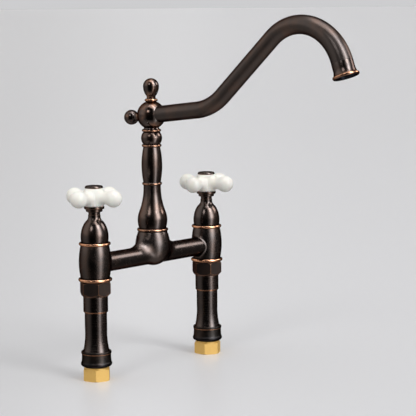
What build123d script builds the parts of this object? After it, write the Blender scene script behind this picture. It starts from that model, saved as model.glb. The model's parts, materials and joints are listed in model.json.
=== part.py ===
from build123d import *
from math import cos, radians, sin, sqrt, tan
import os

os.makedirs("parts", exist_ok=True)

# A bridge kitchen faucet, in millimetres. +Z is up, the bridge lies along X and the
# spout reaches to -Y. The origin is midway between the two inlets, in the plane of the
# coupling nuts' lower faces. The hot side is at -X and the cold side at +X.

# ---------------------------------------------------------------- driving dimensions

centre_spacing = 203.2  # from the hot inlet's axis to the cold one's

# Clearances
fit_gap = 0.05  # radial, a piece seated in a bore
turning_gap = 0.05  # radial, a shaft in its bearing
face_gap = 0.3  # axial, between faces that turn past each other
nut_gap = 0.4  # radial, a loose nut round its tube
seal_gap = 0.1  # radial, a seal or disc in its pocket

# Coupling nut, brass, on the supply pipe's 3/4 inch parallel thread
coupling_across_flats = 30.0
coupling_height = 16.5
coupling_hex_height = 14.6
coupling_collar_radius = 15.0
coupling_collar_round = 1.2
coupling_foot_edge = 1.6
thread_radius = 12.06
thread_length = 7.1
thread_relief = 0.5
hot_coupling_turn = 41.0  # degrees, of a corner from +X
cold_coupling_turn = 28.0
corner_slope = 30.0  # degrees, of the cone that turns a hexagon's corners

# Supply tube, brass, inside the leg
tube_radius = 9.5
tube_bore_radius = 7.0
tube_flange_height = 2.2
washer_height = 2.0
washer_bore_radius = 7.6

# Base flange: the cup at the foot of the leg
flange_height = 18.4
flange_foot_radius = 15.8
flange_bead_radius = 18.55
flange_bead_height = 5.6
flange_bead_step = 0.8
flange_waist_radius = 17.35
flange_rim_radius = 17.9
flange_rim_root_radius = 17.35
flange_rim_height = 4.4
flange_rim_wall = 1.35
flange_cup_depth = 3.2

# Leg column: the slim flared sleeve
leg_column_height = 49.4
leg_column_radius = 13.15
leg_column_foot_radius = 15.8
leg_column_foot_height = 2.4
leg_flare_radius = 14.0  # of the outline, a third of the way up the flare
leg_flare_height = 27.0

# Leg collar
collar_radius = 14.6
collar_height = 19.3
collar_edge = 0.9

# Union nut: the dark hexagon below the barrel
union_across_flats = 33.0
union_height = 17.9
union_lip = 2.6
union_turn = -5.0  # degrees, of a corner from +X
union_slope = 45.0  # degrees, of its turned corners
union_step = 0.6  # its lower face outside the collar

# Bridge casting: valve barrels
tail_radius = 13.0
tail_height = 10.4
lower_ring_radius = 20.0
lower_ring_height = 4.0
barrel_foot_radius = 17.2
barrel_radius = 19.1
barrel_top_radius = 16.8
barrel_height = 38.6
upper_ring_radius = 18.8
upper_ring_height = 3.8
upper_ring_top_radius = 16.9

# Bridge casting: arms and centre tee
arm_radius = 11.6
arm_height = 20.2  # of the arm's axis over the barrel's foot ring's lower edge
arm_bore_radius = 5.5
barrel_blend = 4.2
tee_radius = 21.6
tee_shoulder_height = 20.2  # from the tee's widest place to its rim
tee_rim_radius = 17.7
tee_above_arm = 8.1  # height of the widest place over the arm's axis
tee_blend = 24.0

# Swivel in the tee
spigot_radius = 11.0
spigot_bore_radius = 6.5
spigot_depth = 19.5
spigot_tenon_radius = 9.4
spigot_tenon_height = 10.0
ring_section = 0.9  # radius of the O-rings' round section
first_ring_rise = 4.0
ring_pitch = 5.0
retaining_groove_rise = 14.6
retaining_groove_width = 4.6
retaining_groove_depth = 1.6
retaining_screw_radius = 2.0
retaining_screw_tip_gap = 0.3
retaining_screw_below = 0.6
hex_key_across_flats = 2.0
hex_key_depth = 2.0

# Spout column, a turned baluster
foot_ring_radius = 19.0
foot_ring_root_radius = 17.2
foot_ring_height = 3.8
bulb_foot_radius = 16.4
bulb_radius = 18.1
bulb_rise = 10.0
bulb_shoulder_radius = 16.0
bulb_shoulder_rise = 20.5
waist_radius = 10.6
waist_rise = 52.6
waist_ring_radius = 12.1
waist_ring_height = 3.6
vase_foot_radius = 10.65
vase_radius = 12.6
vase_top_radius = 10.2
vase_height = 42.8
vase_ring_radius = 12.0
vase_ring_height = 3.6
small_ball_radius = 12.75
small_ball_height = 15.0
neck_ring_root_radius = 9.7
neck_ring_radius = 11.7
neck_ring_height = 3.2
neck_radius = 9.0
neck_height = 1.9
column_bore_radius = 6.5
column_tenon_radius = 7.6
column_tenon_height = 7.0

# Ball hub
ball_radius = 17.45
ball_bore_radius = 6.4
ball_cap_radius = 6.0
stud_radius = 3.0
stud_length = 9.0

# Finial
cap_ring_radius = 7.9
cap_ring_height = 3.4
finial_neck_radius = 5.45
finial_neck_height = 3.0
finial_egg_radius = 9.65
finial_egg_rise = 12.15

# Rear knob
knob_radius = 9.15
knob_seat_radius = 5.3
knob_ring_radius = 6.6
knob_ring_height = 2.6
knob_neck_radius = 4.4
knob_neck_height = 5.6

# Spout route, in the upright plane through the column
first_run_rise = 6.7  # degrees above level
first_run_length = 73.8  # from the column's axis
bend_radius = 70.6
diagonal_rise = 42.5
diagonal_length = 99.3
hook_radius = 60.5
outlet_fall = 71.0  # degrees below level at the mouth
spout_start = 12.0  # from the ball's centre
spout_radius = 10.05
spout_wall = 1.6
hook_end_radius = 12.5
hook_sections = 9

# Outlet shell and aerator, measured along the flow
outlet_length = 18.0
outlet_tenon_length = 3.0
outlet_tenon_gap = 0.25  # radial, in the tapered and curved end of the tube
outlet_tenon_wall = 1.6
outlet_flare_start = 7.0
outlet_throat_radius = 13.7
outlet_ring_radius = 15.4
outlet_ring_height = 4.0  # up from the mouth
outlet_rim_radius = 14.3  # where the ring meets the mouth's face
outlet_mouth_radius = 13.3
outlet_mouth_depth = 3.0  # of the cone inside the mouth
outlet_bore_radius = 11.0
outlet_seat_depth = 5.2  # of the gasket's seat from the shell's upper edge
gasket_height = 1.4
gasket_width = 2.2
aerator_height = 7.6
screen_height = 0.7
screen_rim = 1.4
screen_hole_radius = 0.55
screen_pitch = 2.0
screen_rows = 9
nozzle_radius = 0.8
nozzle_rows = {2.4: 5, 5.4: 10}  # circle radius and nozzles on it

# Valve: seat, cartridge and discs
valve_bore_radius = 11.2
seat_depth = 37.4  # from the body's top face to the valve seat
water_bore_radius = 7.0
seat_seal_height = 1.6
disc_height = 4.0
disc_port_radius = 1.9
disc_port_offset = 5.4
cartridge_radius = 11.1
cartridge_wall = 1.9
cartridge_port_radius = 2.2
chamber_height = 7.2  # over the spindle's plate
gland_radius = 8.0
gland_height = 10.0
stem_tube_radius = 5.5
lock_nut_across_flats = 23.0
lock_nut_height = 6.0
cartridge_ring_section = 0.8
cartridge_ring_drop = 8.0  # below the body's top face
spindle_radius = 3.9
spindle_plate_radius = 8.6
spindle_plate_height = 3.0
spindle_collar_radius = 6.2
spindle_collar_height = 2.2
drive_width = 3.6
drive_length = 12.0
drive_depth = 1.6
spindle_ring_section = 0.4
spindle_ring_rise = 5.0  # over the gland
spline_count = 16
spline_radius = 0.5
spline_length = 11.0

# Bonnet: the bell over the cartridge
bonnet_foot_radius = 15.9
bonnet_radius = 16.4
bonnet_widest_rise = 8.0
bonnet_shoulder_radius = 13.45
bonnet_shoulder_rise = 19.6
bonnet_flank_radius = 9.3
bonnet_flank_rise = 25.5
bonnet_neck_radius = 7.3
bonnet_neck_rise = 30.3
bonnet_height = 32.4
bonnet_cavity_radius = 14.0
bonnet_cavity_height = 13.0

# Handle base
base_neck_radius = 7.0
base_neck_height = 3.2
base_step_radius = 9.8
base_step_height = 3.2
base_flange_radius = 12.0
base_flange_height = 3.0
base_edge = 0.7
base_boss_radius = 6.6
base_web_height = 4.0

# Porcelain cross
hub_radius = 11.7
hub_height = 21.8
hub_edge = 1.4
arm_ball_radius = 10.0
arm_ball_offset = 29.0
arm_ball_rise = 10.6
arm_root_radius = 8.6
arm_waist_radius = 7.0
arm_waist_offset = 17.0
cross_turn = 6.0  # degrees, of an arm from +X
ball_join_angle = 45.0  # degrees, where an arm's outline meets its ball
hub_recess_radius = 9.4
hub_recess_depth = 5.4
hub_web_height = 1.8

# Handle screw and index cap
screw_head_radius = 4.6
screw_head_height = 2.6
screw_radius = 2.0
screw_length = 14.0
screw_hole_depth = 10.0
slot_width = 1.2
slot_depth = 1.2
cap_radius = 10.7
cap_top_radius = 7.9
cap_height = 2.5
cap_rim_height = 0.8
cap_skirt_height = 1.8
cap_skirt_wall = 1.2

# ---------------------------------------------------------------- heights worked out

half_centres = centre_spacing / 2
washer_base = thread_length + fit_gap
tube_foot = washer_base + washer_height
lip_base = tube_foot + tube_flange_height + face_gap
flange_base = coupling_height + face_gap
column_foot = flange_base + flange_height - flange_cup_depth
collar_base = column_foot + leg_column_height
union_base = collar_base + collar_height
union_top = union_base + union_height
barrel_base = union_top
tail_base = barrel_base - tail_height
tube_top = tail_base - washer_height
barrel_top = barrel_base + lower_ring_height + barrel_height
body_top = barrel_top + upper_ring_height
arm_axis = barrel_base + arm_height
tee_widest = arm_axis + tee_above_arm
tee_top = tee_widest + tee_shoulder_height
seat_height = body_top - seat_depth
bonnet_top = body_top + bonnet_height
handle_foot = bonnet_top + face_gap
hub_base = handle_foot + base_neck_height + base_step_height + base_flange_height
hub_top = hub_base + hub_height
hub_floor = hub_top - hub_recess_depth
boss_top = hub_floor - hub_web_height - fit_gap
spindle_top = boss_top - base_web_height - fit_gap
column_base = tee_top + face_gap
spigot_base = column_base - spigot_depth
ball_seat_drop = sqrt(ball_radius**2 - neck_radius**2)
ball_cap_rise = sqrt(ball_radius**2 - ball_cap_radius**2)
column_top = (
    column_base + foot_ring_height + waist_rise + waist_ring_height + vase_height
    + vase_ring_height + small_ball_height + neck_ring_height + neck_height
)
ball_height = column_top + ball_seat_drop
sides = {"hot": -1, "cold": 1}
coupling_turns = {"hot": hot_coupling_turn, "cold": cold_coupling_turn}

spout_plane = Plane(origin=(0, 0, ball_height), x_dir=(0, -1, 0), z_dir=(-1, 0, 0))
with BuildLine(spout_plane) as spout_route:
    axis_line = PolarLine((0, 0), first_run_length, first_run_rise)
    bend = JernArc(
        axis_line @ 1, axis_line % 1, bend_radius, diagonal_rise - first_run_rise
    )
    diagonal = PolarLine(bend @ 1, diagonal_length, diagonal_rise)
    hook = JernArc(
        diagonal @ 1, diagonal % 1, hook_radius, -(diagonal_rise + outlet_fall)
    )
ball_centre = axis_line @ 0
spout_direction = axis_line % 0
shell_start = hook @ 1
flow = hook % 1


# ---------------------------------------------------------------- shared helpers


def write(piece, name):
    """Label a finished piece and write its file."""
    piece.part.label = name
    export_step(piece.part, f"parts/{name}.step")


def upright_plane(x):
    """The plane through an upright axis at x, with radius across and height up."""
    return Plane(origin=(x, 0, 0), x_dir=(1, 0, 0), z_dir=(0, -1, 0))


def upright_axis(x):
    """The upright axis at x."""
    return Axis((x, 0, 0), (0, 0, 1))


def turning_plane(point, direction):
    """The plane through a tilted axis, with radius along X and length along the axis."""
    across = Vector(1, 0, 0)
    return Plane(origin=point, x_dir=across, z_dir=across.cross(direction))


def bead(start, peak_radius, height, end_radius):
    """Draw a rounded ring on a turned outline and return the point where it ends."""
    end = (end_radius, start[1] + height)
    ThreePointArc(start, (peak_radius, start[1] + height / 2), end)
    return end


def ring_piece(x, bottom, top, outer, inner):
    """A plain ring or sleeve round the upright axis at x."""
    with BuildPart() as ring:
        with BuildSketch(Plane((x, 0, bottom))):
            Circle(outer)
            Circle(inner, mode=Mode.SUBTRACT)
        extrude(amount=top - bottom)
    return ring


def seal_ring(x, heights, centre_radius, section):
    """O-rings of round section round the upright axis at x."""
    with BuildPart() as rings:
        with BuildSketch(upright_plane(x)):
            with Locations([(centre_radius, height) for height in heights]):
                Circle(section)
        revolve(axis=upright_axis(x))
    return rings


def hexagon(x, bottom, top, across_flats, turn, bottom_radius, top_radius, slope):
    """Add a hexagon whose corners are turned to cones from the two end radii."""
    corner = across_flats / 2 / cos(radians(30))
    rise = tan(radians(slope))
    with BuildSketch(Plane((x, 0, bottom))) as flats:
        RegularPolygon(corner, 6, rotation=turn)
    extrude(flats.sketch, amount=top - bottom)
    with BuildSketch(upright_plane(x)) as envelope:
        with BuildLine():
            Polyline(
                (0, bottom), (bottom_radius, bottom),
                (corner, bottom + (corner - bottom_radius) * rise),
                (corner, top - (corner - top_radius) * rise),
                (top_radius, top), (0, top), (0, bottom),
            )
        make_face()
    revolve(envelope.sketch, axis=upright_axis(x), mode=Mode.INTERSECT)


def bore(x, bottom, top, radius):
    """Cut a round hole on the upright axis at x."""
    with BuildSketch(Plane((x, 0, bottom))) as hole:
        Circle(radius)
    extrude(hole.sketch, amount=top - bottom, mode=Mode.SUBTRACT)


def turned(x, points):
    """Add a piece turned on the upright axis at x from straight-lined points."""
    with BuildSketch(upright_plane(x)) as profile:
        with BuildLine():
            Polyline(*points, close=True)
        make_face()
    revolve(profile.sketch, axis=upright_axis(x))


# ---------------------------------------------------------------- bridge casting

tee_bottom = tee_widest - tee_radius
barrel_start = barrel_base + lower_ring_height
barrel_middle = barrel_start + barrel_height / 2
spigot_socket = spigot_radius + turning_gap
screw_height = spigot_base + retaining_groove_rise
screw_hole_radius = retaining_screw_radius + fit_gap

with BuildPart() as bridge_body:
    with BuildSketch(Plane.YZ):
        with BuildLine():
            Line((0, tee_bottom), (0, tee_top))
            Line((0, tee_top), (tee_rim_radius, tee_top))
            TangentArc(
                (tee_radius, tee_widest), (tee_rim_radius, tee_top), tangent=(0, 1)
            )
            CenterArc((0, tee_widest), tee_radius, start_angle=270, arc_size=90)
        make_face()
    revolve(axis=Axis.Z)
    with BuildSketch(Plane.YZ):
        with Locations((0, arm_axis)):
            Circle(arm_radius)
    extrude(amount=half_centres, both=True)
    tee_edges = bridge_body.edges().filter_by(GeomType.BSPLINE)
    fillet(tee_edges, tee_blend)
    for side in sides.values():
        x = side * half_centres
        with BuildSketch(upright_plane(x)):
            with BuildLine():
                foot = bead(
                    (barrel_foot_radius, barrel_base), lower_ring_radius,
                    lower_ring_height, barrel_foot_radius,
                )
                head = (barrel_top_radius, barrel_top)
                ThreePointArc(foot, (barrel_radius, barrel_middle), head)
                rim = bead(
                    head, upper_ring_radius, upper_ring_height, upper_ring_top_radius
                )
                Polyline(
                    rim, (0, rim[1]), (0, tail_base), (tail_radius, tail_base),
                    (tail_radius, barrel_base), (barrel_foot_radius, barrel_base),
                )
            make_face()
        revolve(axis=upright_axis(x))
    barrel_edges = [
        edge
        for edge in bridge_body.edges().filter_by(GeomType.BSPLINE)
        if abs(edge.center().X) > half_centres - barrel_radius - 1
    ]
    fillet(barrel_edges, barrel_blend)
    for side in sides.values():
        x = side * half_centres
        bore(x, seat_height, body_top, valve_bore_radius)
        bore(x, tail_base, seat_height, water_bore_radius)
    with BuildSketch(Plane.YZ):
        with Locations((0, arm_axis)):
            Circle(arm_bore_radius)
    extrude(amount=half_centres - valve_bore_radius / 2, both=True, mode=Mode.SUBTRACT)
    bore(0, spigot_base - face_gap, tee_top, spigot_socket)
    bore(0, arm_axis - arm_bore_radius, spigot_base, spigot_bore_radius)
    with BuildSketch(Plane.XZ):
        with Locations((0, screw_height)):
            Circle(screw_hole_radius)
    extrude(amount=-tee_radius, mode=Mode.SUBTRACT)
write(bridge_body, "bridge_body")

# The grub screw in the back of the tee: its tip stands in the spigot's groove.
screw_tip = spigot_radius - retaining_groove_depth + retaining_screw_tip_gap
screw_length_in_wall = tee_rim_radius - retaining_screw_below - screw_tip
with BuildPart() as spout_retaining_screw:
    with BuildSketch(Plane.XZ.offset(-screw_tip)):
        with Locations((0, screw_height)):
            Circle(retaining_screw_radius)
    extrude(amount=-screw_length_in_wall)
    with BuildSketch(Plane.XZ.offset(-screw_tip - screw_length_in_wall)):
        with Locations((0, screw_height)):
            RegularPolygon(hex_key_across_flats / 2, 6, major_radius=False)
    extrude(amount=hex_key_depth, mode=Mode.SUBTRACT)
write(spout_retaining_screw, "spout_retaining_screw")


# ---------------------------------------------------------------- legs


def supply_tube(x):
    """The brass tube through the leg, with a flange at each end."""
    flange = thread_radius - seal_gap
    top_flange = tail_radius - seal_gap
    with BuildPart() as tube:
        turned(x, [
            (tube_bore_radius, tube_foot), (flange, tube_foot),
            (flange, tube_foot + tube_flange_height),
            (tube_radius, tube_foot + tube_flange_height),
            (tube_radius, tube_top - tube_flange_height),
            (top_flange, tube_top - tube_flange_height),
            (top_flange, tube_top), (tube_bore_radius, tube_top),
        ])
    return tube


def coupling_nut(x, turn):
    """The captive brass nut: a hexagon with a round collar and a lip over the flange."""
    corner = coupling_across_flats / 2 / cos(radians(30))
    with BuildPart() as nut:
        hexagon(
            x, 0, coupling_hex_height, coupling_across_flats, turn,
            corner - coupling_foot_edge, coupling_across_flats / 2, corner_slope,
        )
        with BuildSketch(Plane((x, 0, coupling_hex_height))):
            Circle(coupling_collar_radius)
        extrude(amount=coupling_height - coupling_hex_height)
        rim = nut.faces().sort_by(Axis.Z)[-1].edges()
        fillet(rim, coupling_collar_round)
        bore(x, 0, thread_length, thread_radius)
        bore(x, thread_length, lip_base, thread_radius + thread_relief)
        bore(x, lip_base, coupling_height, tube_radius + nut_gap)
    return nut


def base_flange(x):
    """The cup at the foot of the leg."""
    inner = tube_radius + fit_gap
    top = flange_base + flange_height
    cup_radius = flange_rim_root_radius - flange_rim_wall
    bead_top = (flange_bead_radius - flange_bead_step, flange_base + flange_bead_height)
    rim_foot = (flange_rim_root_radius, top - flange_rim_height)
    with BuildPart() as flange:
        with BuildSketch(upright_plane(x)):
            with BuildLine():
                ThreePointArc(
                    (flange_foot_radius, flange_base),
                    (flange_bead_radius, flange_base + flange_bead_height / 2), bead_top,
                )
                ThreePointArc(
                    bead_top, (flange_waist_radius, (bead_top[1] + rim_foot[1]) / 2),
                    rim_foot,
                )
                ThreePointArc(
                    rim_foot, (flange_rim_radius, top - flange_rim_height / 2),
                    (flange_rim_root_radius, top),
                )
                Polyline(
                    (flange_rim_root_radius, top), (cup_radius, top),
                    (cup_radius, column_foot), (inner, column_foot),
                    (inner, flange_base), (flange_foot_radius, flange_base),
                )
            make_face()
        revolve(axis=upright_axis(x))
    return flange


def leg_column(x):
    """The slim sleeve, flared where it stands in the base flange."""
    inner = tube_radius + fit_gap
    shoulder = column_foot + leg_column_foot_height
    with BuildPart() as column:
        with BuildSketch(upright_plane(x)):
            with BuildLine():
                ThreePointArc(
                    (leg_column_foot_radius, shoulder),
                    (leg_flare_radius, shoulder + leg_flare_height / 3),
                    (leg_column_radius, shoulder + leg_flare_height),
                )
                Polyline(
                    (leg_column_radius, shoulder + leg_flare_height),
                    (leg_column_radius, collar_base), (inner, collar_base),
                    (inner, column_foot), (leg_column_foot_radius, column_foot),
                    (leg_column_foot_radius, shoulder),
                )
            make_face()
        revolve(axis=upright_axis(x))
    return column


def leg_collar(x):
    """The plain sleeve between the column and the union nut."""
    with BuildPart() as collar:
        turned(x, [
            (tube_radius + fit_gap, collar_base),
            (collar_radius - collar_edge, collar_base),
            (collar_radius, collar_base + collar_edge),
            (collar_radius, union_base), (tube_radius + fit_gap, union_base),
        ])
    return collar


def union_nut(x):
    """The dark hexagon that draws the supply tube up to the casting's tail."""
    flat = union_across_flats / 2
    with BuildPart() as nut:
        hexagon(
            x, union_base, union_top, union_across_flats, union_turn,
            collar_radius + union_step, flat, union_slope,
        )
        bore(x, union_base, union_base + union_lip, tube_radius + fit_gap)
        bore(x, union_base + union_lip, union_top, tail_radius + fit_gap)
    return nut


# ---------------------------------------------------------------- valves

fixed_base = seat_height + seat_seal_height
moving_base = fixed_base + disc_height + turning_gap
plate_base = moving_base + disc_height
plate_top = plate_base + spindle_plate_height
shoulder_height = plate_top + chamber_height
collar_top = shoulder_height - turning_gap
gland_top = body_top + gland_height
chamber_radius = cartridge_radius - cartridge_wall
disc_radius = chamber_radius - seal_gap
stem_bore = spindle_radius + turning_gap
port_height = (plate_top + collar_top - spindle_collar_height) / 2
ring_height = body_top - cartridge_ring_drop
ring_centre_radius = valve_bore_radius - fit_gap - cartridge_ring_section
spindle_ring_height = gland_top + spindle_ring_rise
spindle_ring_radius = stem_bore - fit_gap - spindle_ring_section
port_angles = {"fixed": 0, "moving": 90}


def grooved(x, height, centre_radius, section, outer):
    """Cut an O-ring's groove in the outside of the piece under way."""
    with BuildSketch(Plane((x, 0, height))) as groove:
        Circle(outer + section)
        Circle(centre_radius - section - fit_gap, mode=Mode.SUBTRACT)
    extrude(groove.sketch, amount=section + fit_gap, both=True, mode=Mode.SUBTRACT)


def cartridge_body(x):
    """The brass cartridge: a chamber round the discs, a gland and a stem tube above."""
    with BuildPart() as body:
        turned(x, [
            (chamber_radius, fixed_base), (cartridge_radius, fixed_base),
            (cartridge_radius, body_top), (gland_radius, body_top),
            (gland_radius, gland_top), (stem_tube_radius, gland_top),
            (stem_tube_radius, bonnet_top), (stem_bore, bonnet_top),
            (stem_bore, shoulder_height), (chamber_radius, shoulder_height),
        ])
        grooved(x, ring_height, ring_centre_radius, cartridge_ring_section,
                cartridge_radius)
        for across in (Plane.XZ, Plane.YZ):
            with BuildSketch(Plane((x, 0, port_height), across.x_dir, across.z_dir)):
                Circle(cartridge_port_radius)
            extrude(amount=cartridge_radius + 1, both=True, mode=Mode.SUBTRACT)
    return body


def ceramic_disc(x, bottom, angle):
    """A ceramic disc with its two water ports."""
    with BuildPart() as disc:
        with BuildSketch(Plane((x, 0, bottom))):
            Circle(disc_radius)
            with PolarLocations(disc_port_offset, 2, start_angle=angle):
                Circle(disc_port_radius, mode=Mode.SUBTRACT)
        extrude(amount=disc_height)
    return disc


def moving_disc(x):
    """The disc that the spindle turns, with the slot for its drive tongue."""
    with BuildPart() as disc:
        add(ceramic_disc(x, moving_base, port_angles["moving"]).part)
        with BuildSketch(Plane((x, 0, plate_base))):
            Rectangle(drive_length + 2 * fit_gap, drive_width + 2 * fit_gap)
        extrude(amount=-drive_depth - fit_gap, mode=Mode.SUBTRACT)
    return disc


def spindle(x):
    """The spindle: drive tongue, plate, thrust collar, shaft and splined top."""
    with BuildPart() as shaft:
        turned(x, [
            (0, plate_base), (spindle_plate_radius, plate_base),
            (spindle_plate_radius, plate_top), (spindle_radius, plate_top),
            (spindle_radius, collar_top - spindle_collar_height),
            (spindle_collar_radius, collar_top - spindle_collar_height),
            (spindle_collar_radius, collar_top), (spindle_radius, collar_top),
            (spindle_radius, spindle_top), (0, spindle_top),
        ])
        with BuildSketch(Plane((x, 0, plate_base))):
            Rectangle(drive_length, drive_width)
        extrude(amount=-drive_depth)
        grooved(x, spindle_ring_height, spindle_ring_radius, spindle_ring_section,
                spindle_radius)
        with BuildSketch(Plane((x, 0, spindle_top))):
            with PolarLocations(spindle_radius, spline_count):
                Circle(spline_radius)
        extrude(amount=-spline_length, mode=Mode.SUBTRACT)
        bore(x, spindle_top - screw_hole_depth, spindle_top, screw_radius + fit_gap)
    return shaft


def lock_nut(x):
    """The brass hexagon that holds the cartridge down in the casting."""
    flat = lock_nut_across_flats / 2
    with BuildPart() as nut:
        hexagon(
            x, body_top, body_top + lock_nut_height, lock_nut_across_flats, 0,
            flat, flat, corner_slope,
        )
        bore(x, body_top, body_top + lock_nut_height, gland_radius + fit_gap)
    return nut


def bonnet(x):
    """The bell over the cartridge."""
    foot = (bonnet_foot_radius, body_top)
    widest = (bonnet_radius, body_top + bonnet_widest_rise)
    shoulder = (bonnet_shoulder_radius, body_top + bonnet_shoulder_rise)
    flank = (bonnet_flank_radius, body_top + bonnet_flank_rise)
    neck = (bonnet_neck_radius, body_top + bonnet_neck_rise)
    inner = stem_tube_radius + fit_gap
    cavity_top = body_top + bonnet_cavity_height
    dome_top = cavity_top + bonnet_cavity_radius - inner
    with BuildPart() as bell:
        with BuildSketch(upright_plane(x)):
            with BuildLine():
                belly = ThreePointArc(foot, widest, shoulder)
                hip = TangentArc(shoulder, flank, tangent=belly % 1)
                TangentArc(flank, neck, tangent=hip % 1)
                Polyline(
                    neck, (bonnet_neck_radius, bonnet_top), (inner, bonnet_top),
                    (inner, dome_top),
                )
                Polyline(
                    (inner, dome_top), (bonnet_cavity_radius, cavity_top),
                    (bonnet_cavity_radius, body_top), foot,
                )
            make_face()
        revolve(axis=upright_axis(x))
    return bell


# ---------------------------------------------------------------- handles


def handle_base(x):
    """The turned base under the porcelain, with a boss up through it."""
    step_base = handle_foot + base_neck_height
    flange_foot = step_base + base_step_height
    socket = spindle_radius + fit_gap
    with BuildPart() as base:
        with BuildSketch(upright_plane(x)):
            with BuildLine():
                Polyline(
                    (base_neck_radius, handle_foot), (base_neck_radius, step_base),
                    (base_step_radius - base_edge, step_base),
                    (base_step_radius, step_base + base_edge),
                    (base_step_radius, flange_foot),
                    (base_flange_radius - base_edge, flange_foot),
                    (base_flange_radius, flange_foot + base_edge),
                    (base_flange_radius, hub_base),
                    (base_boss_radius, hub_base), (base_boss_radius, boss_top),
                    (screw_radius + fit_gap, boss_top),
                    (screw_radius + fit_gap, boss_top - base_web_height),
                    (socket, boss_top - base_web_height), (socket, handle_foot),
                    close=True,
                )
            make_face()
        revolve(axis=upright_axis(x))
    return base


def cross_handle(x):
    """The porcelain cross: a hub with four ball-ended arms."""
    cross_height = hub_base + arm_ball_rise
    join = radians(ball_join_angle)
    join_point = (
        arm_ball_offset - arm_ball_radius * cos(join), arm_ball_radius * sin(join)
    )
    with BuildPart() as cross:
        with BuildSketch(Plane((x, 0, hub_base))):
            Circle(hub_radius)
        extrude(amount=hub_height)
        fillet(cross.edges(), hub_edge)
        for angle in range(0, 360, 90):
            out = Vector(1, 0, 0).rotate(Axis.Z, cross_turn + angle)
            root = Vector(x, 0, cross_height)
            with BuildSketch(Plane(root, out, out.cross(Vector(0, 0, 1)))):
                with BuildLine():
                    Line((0, 0), (0, arm_root_radius))
                    ThreePointArc(
                        (0, arm_root_radius), (arm_waist_offset, arm_waist_radius),
                        join_point,
                    )
                    ThreePointArc(
                        join_point, (arm_ball_offset, arm_ball_radius),
                        (arm_ball_offset + arm_ball_radius, 0),
                    )
                    Line((arm_ball_offset + arm_ball_radius, 0), (0, 0))
                make_face()
            revolve(axis=Axis(root, out))
        bore(x, hub_base, hub_base + hub_height, screw_radius + seal_gap)
        bore(x, hub_base, hub_floor - hub_web_height, base_boss_radius + fit_gap)
        bore(x, hub_floor, hub_top, hub_recess_radius)
    return cross


def handle_screw(x):
    """The slotted screw that holds the cross and its base on the spindle."""
    with BuildPart() as screw:
        turned(x, [
            (0, hub_floor - screw_length), (screw_radius, hub_floor - screw_length),
            (screw_radius, hub_floor), (screw_head_radius, hub_floor),
            (screw_head_radius, hub_floor + screw_head_height),
            (0, hub_floor + screw_head_height),
        ])
        with BuildSketch(Plane((x, 0, hub_floor + screw_head_height))):
            Rectangle(2 * screw_head_radius, slot_width)
        extrude(amount=-slot_depth, mode=Mode.SUBTRACT)
    return screw


def index_cap(x):
    """The metal button that closes the hub's recess."""
    skirt = hub_recess_radius - fit_gap
    skirt_base = hub_top - cap_skirt_height
    with BuildPart() as cap:
        with BuildSketch(upright_plane(x)):
            with BuildLine():
                Polyline(
                    (0, hub_top + cap_height), (0, hub_top),
                    (skirt - cap_skirt_wall, hub_top),
                    (skirt - cap_skirt_wall, skirt_base), (skirt, skirt_base),
                    (skirt, hub_top), (cap_radius, hub_top),
                    (cap_radius, hub_top + cap_rim_height),
                )
                TangentArc(
                    (cap_radius, hub_top + cap_rim_height),
                    (cap_top_radius, hub_top + cap_height), tangent=(0, 1),
                )
                Line((cap_top_radius, hub_top + cap_height), (0, hub_top + cap_height))
            make_face()
        revolve(axis=upright_axis(x))
    return cap


# ---------------------------------------------------------------- both sides

for side, way in sides.items():
    x = way * half_centres
    write(coupling_nut(x, coupling_turns[side]), f"{side}_coupling_nut")
    write(
        ring_piece(x, washer_base, tube_foot, thread_radius - seal_gap,
                   washer_bore_radius),
        f"{side}_inlet_washer",
    )
    write(supply_tube(x), f"{side}_supply_tube")
    write(base_flange(x), f"{side}_base_flange")
    write(leg_column(x), f"{side}_leg_column")
    write(leg_collar(x), f"{side}_leg_collar")
    write(union_nut(x), f"{side}_union_nut")
    write(
        ring_piece(x, tube_top, tail_base, tail_radius - seal_gap, washer_bore_radius),
        f"{side}_union_washer",
    )
    write(
        ring_piece(x, seat_height, fixed_base, valve_bore_radius - seal_gap,
                   water_bore_radius),
        f"{side}_seat_seal",
    )
    write(ceramic_disc(x, fixed_base, port_angles["fixed"]), f"{side}_fixed_disc")
    write(cartridge_body(x), f"{side}_cartridge_body")
    write(
        seal_ring(x, [ring_height], ring_centre_radius, cartridge_ring_section),
        f"{side}_cartridge_ring",
    )
    write(lock_nut(x), f"{side}_lock_nut")
    write(bonnet(x), f"{side}_bonnet")
    write(moving_disc(x), f"{side}_moving_disc")
    write(spindle(x), f"{side}_spindle")
    write(
        seal_ring(x, [spindle_ring_height], spindle_ring_radius, spindle_ring_section),
        f"{side}_spindle_ring",
    )
    write(handle_base(x), f"{side}_handle_base")
    write(cross_handle(x), f"{side}_cross_handle")
    write(handle_screw(x), f"{side}_handle_screw")
    write(index_cap(x), f"{side}_index_cap")


# ---------------------------------------------------------------- spout column

ring_heights = [spigot_base + first_ring_rise + n * ring_pitch for n in range(2)]
spigot_ring_radius = spigot_socket - fit_gap - ring_section
groove_base = screw_height - retaining_groove_width / 2
groove_top = screw_height + retaining_groove_width / 2
groove_radius = spigot_radius - retaining_groove_depth
tenon_top = column_base + spigot_tenon_height

with BuildPart() as swivel_spigot:
    turned(0, [
        (spigot_bore_radius, spigot_base), (spigot_radius, spigot_base),
        (spigot_radius, groove_base), (groove_radius, groove_base),
        (groove_radius, groove_top), (spigot_radius, groove_top),
        (spigot_radius, column_base), (spigot_tenon_radius, column_base),
        (spigot_tenon_radius, tenon_top), (spigot_bore_radius, tenon_top),
    ])
    for height in ring_heights:
        grooved(0, height, spigot_ring_radius, ring_section, spigot_radius)
write(swivel_spigot, "swivel_spigot")
write(seal_ring(0, ring_heights, spigot_ring_radius, ring_section), "spigot_rings")

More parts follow.
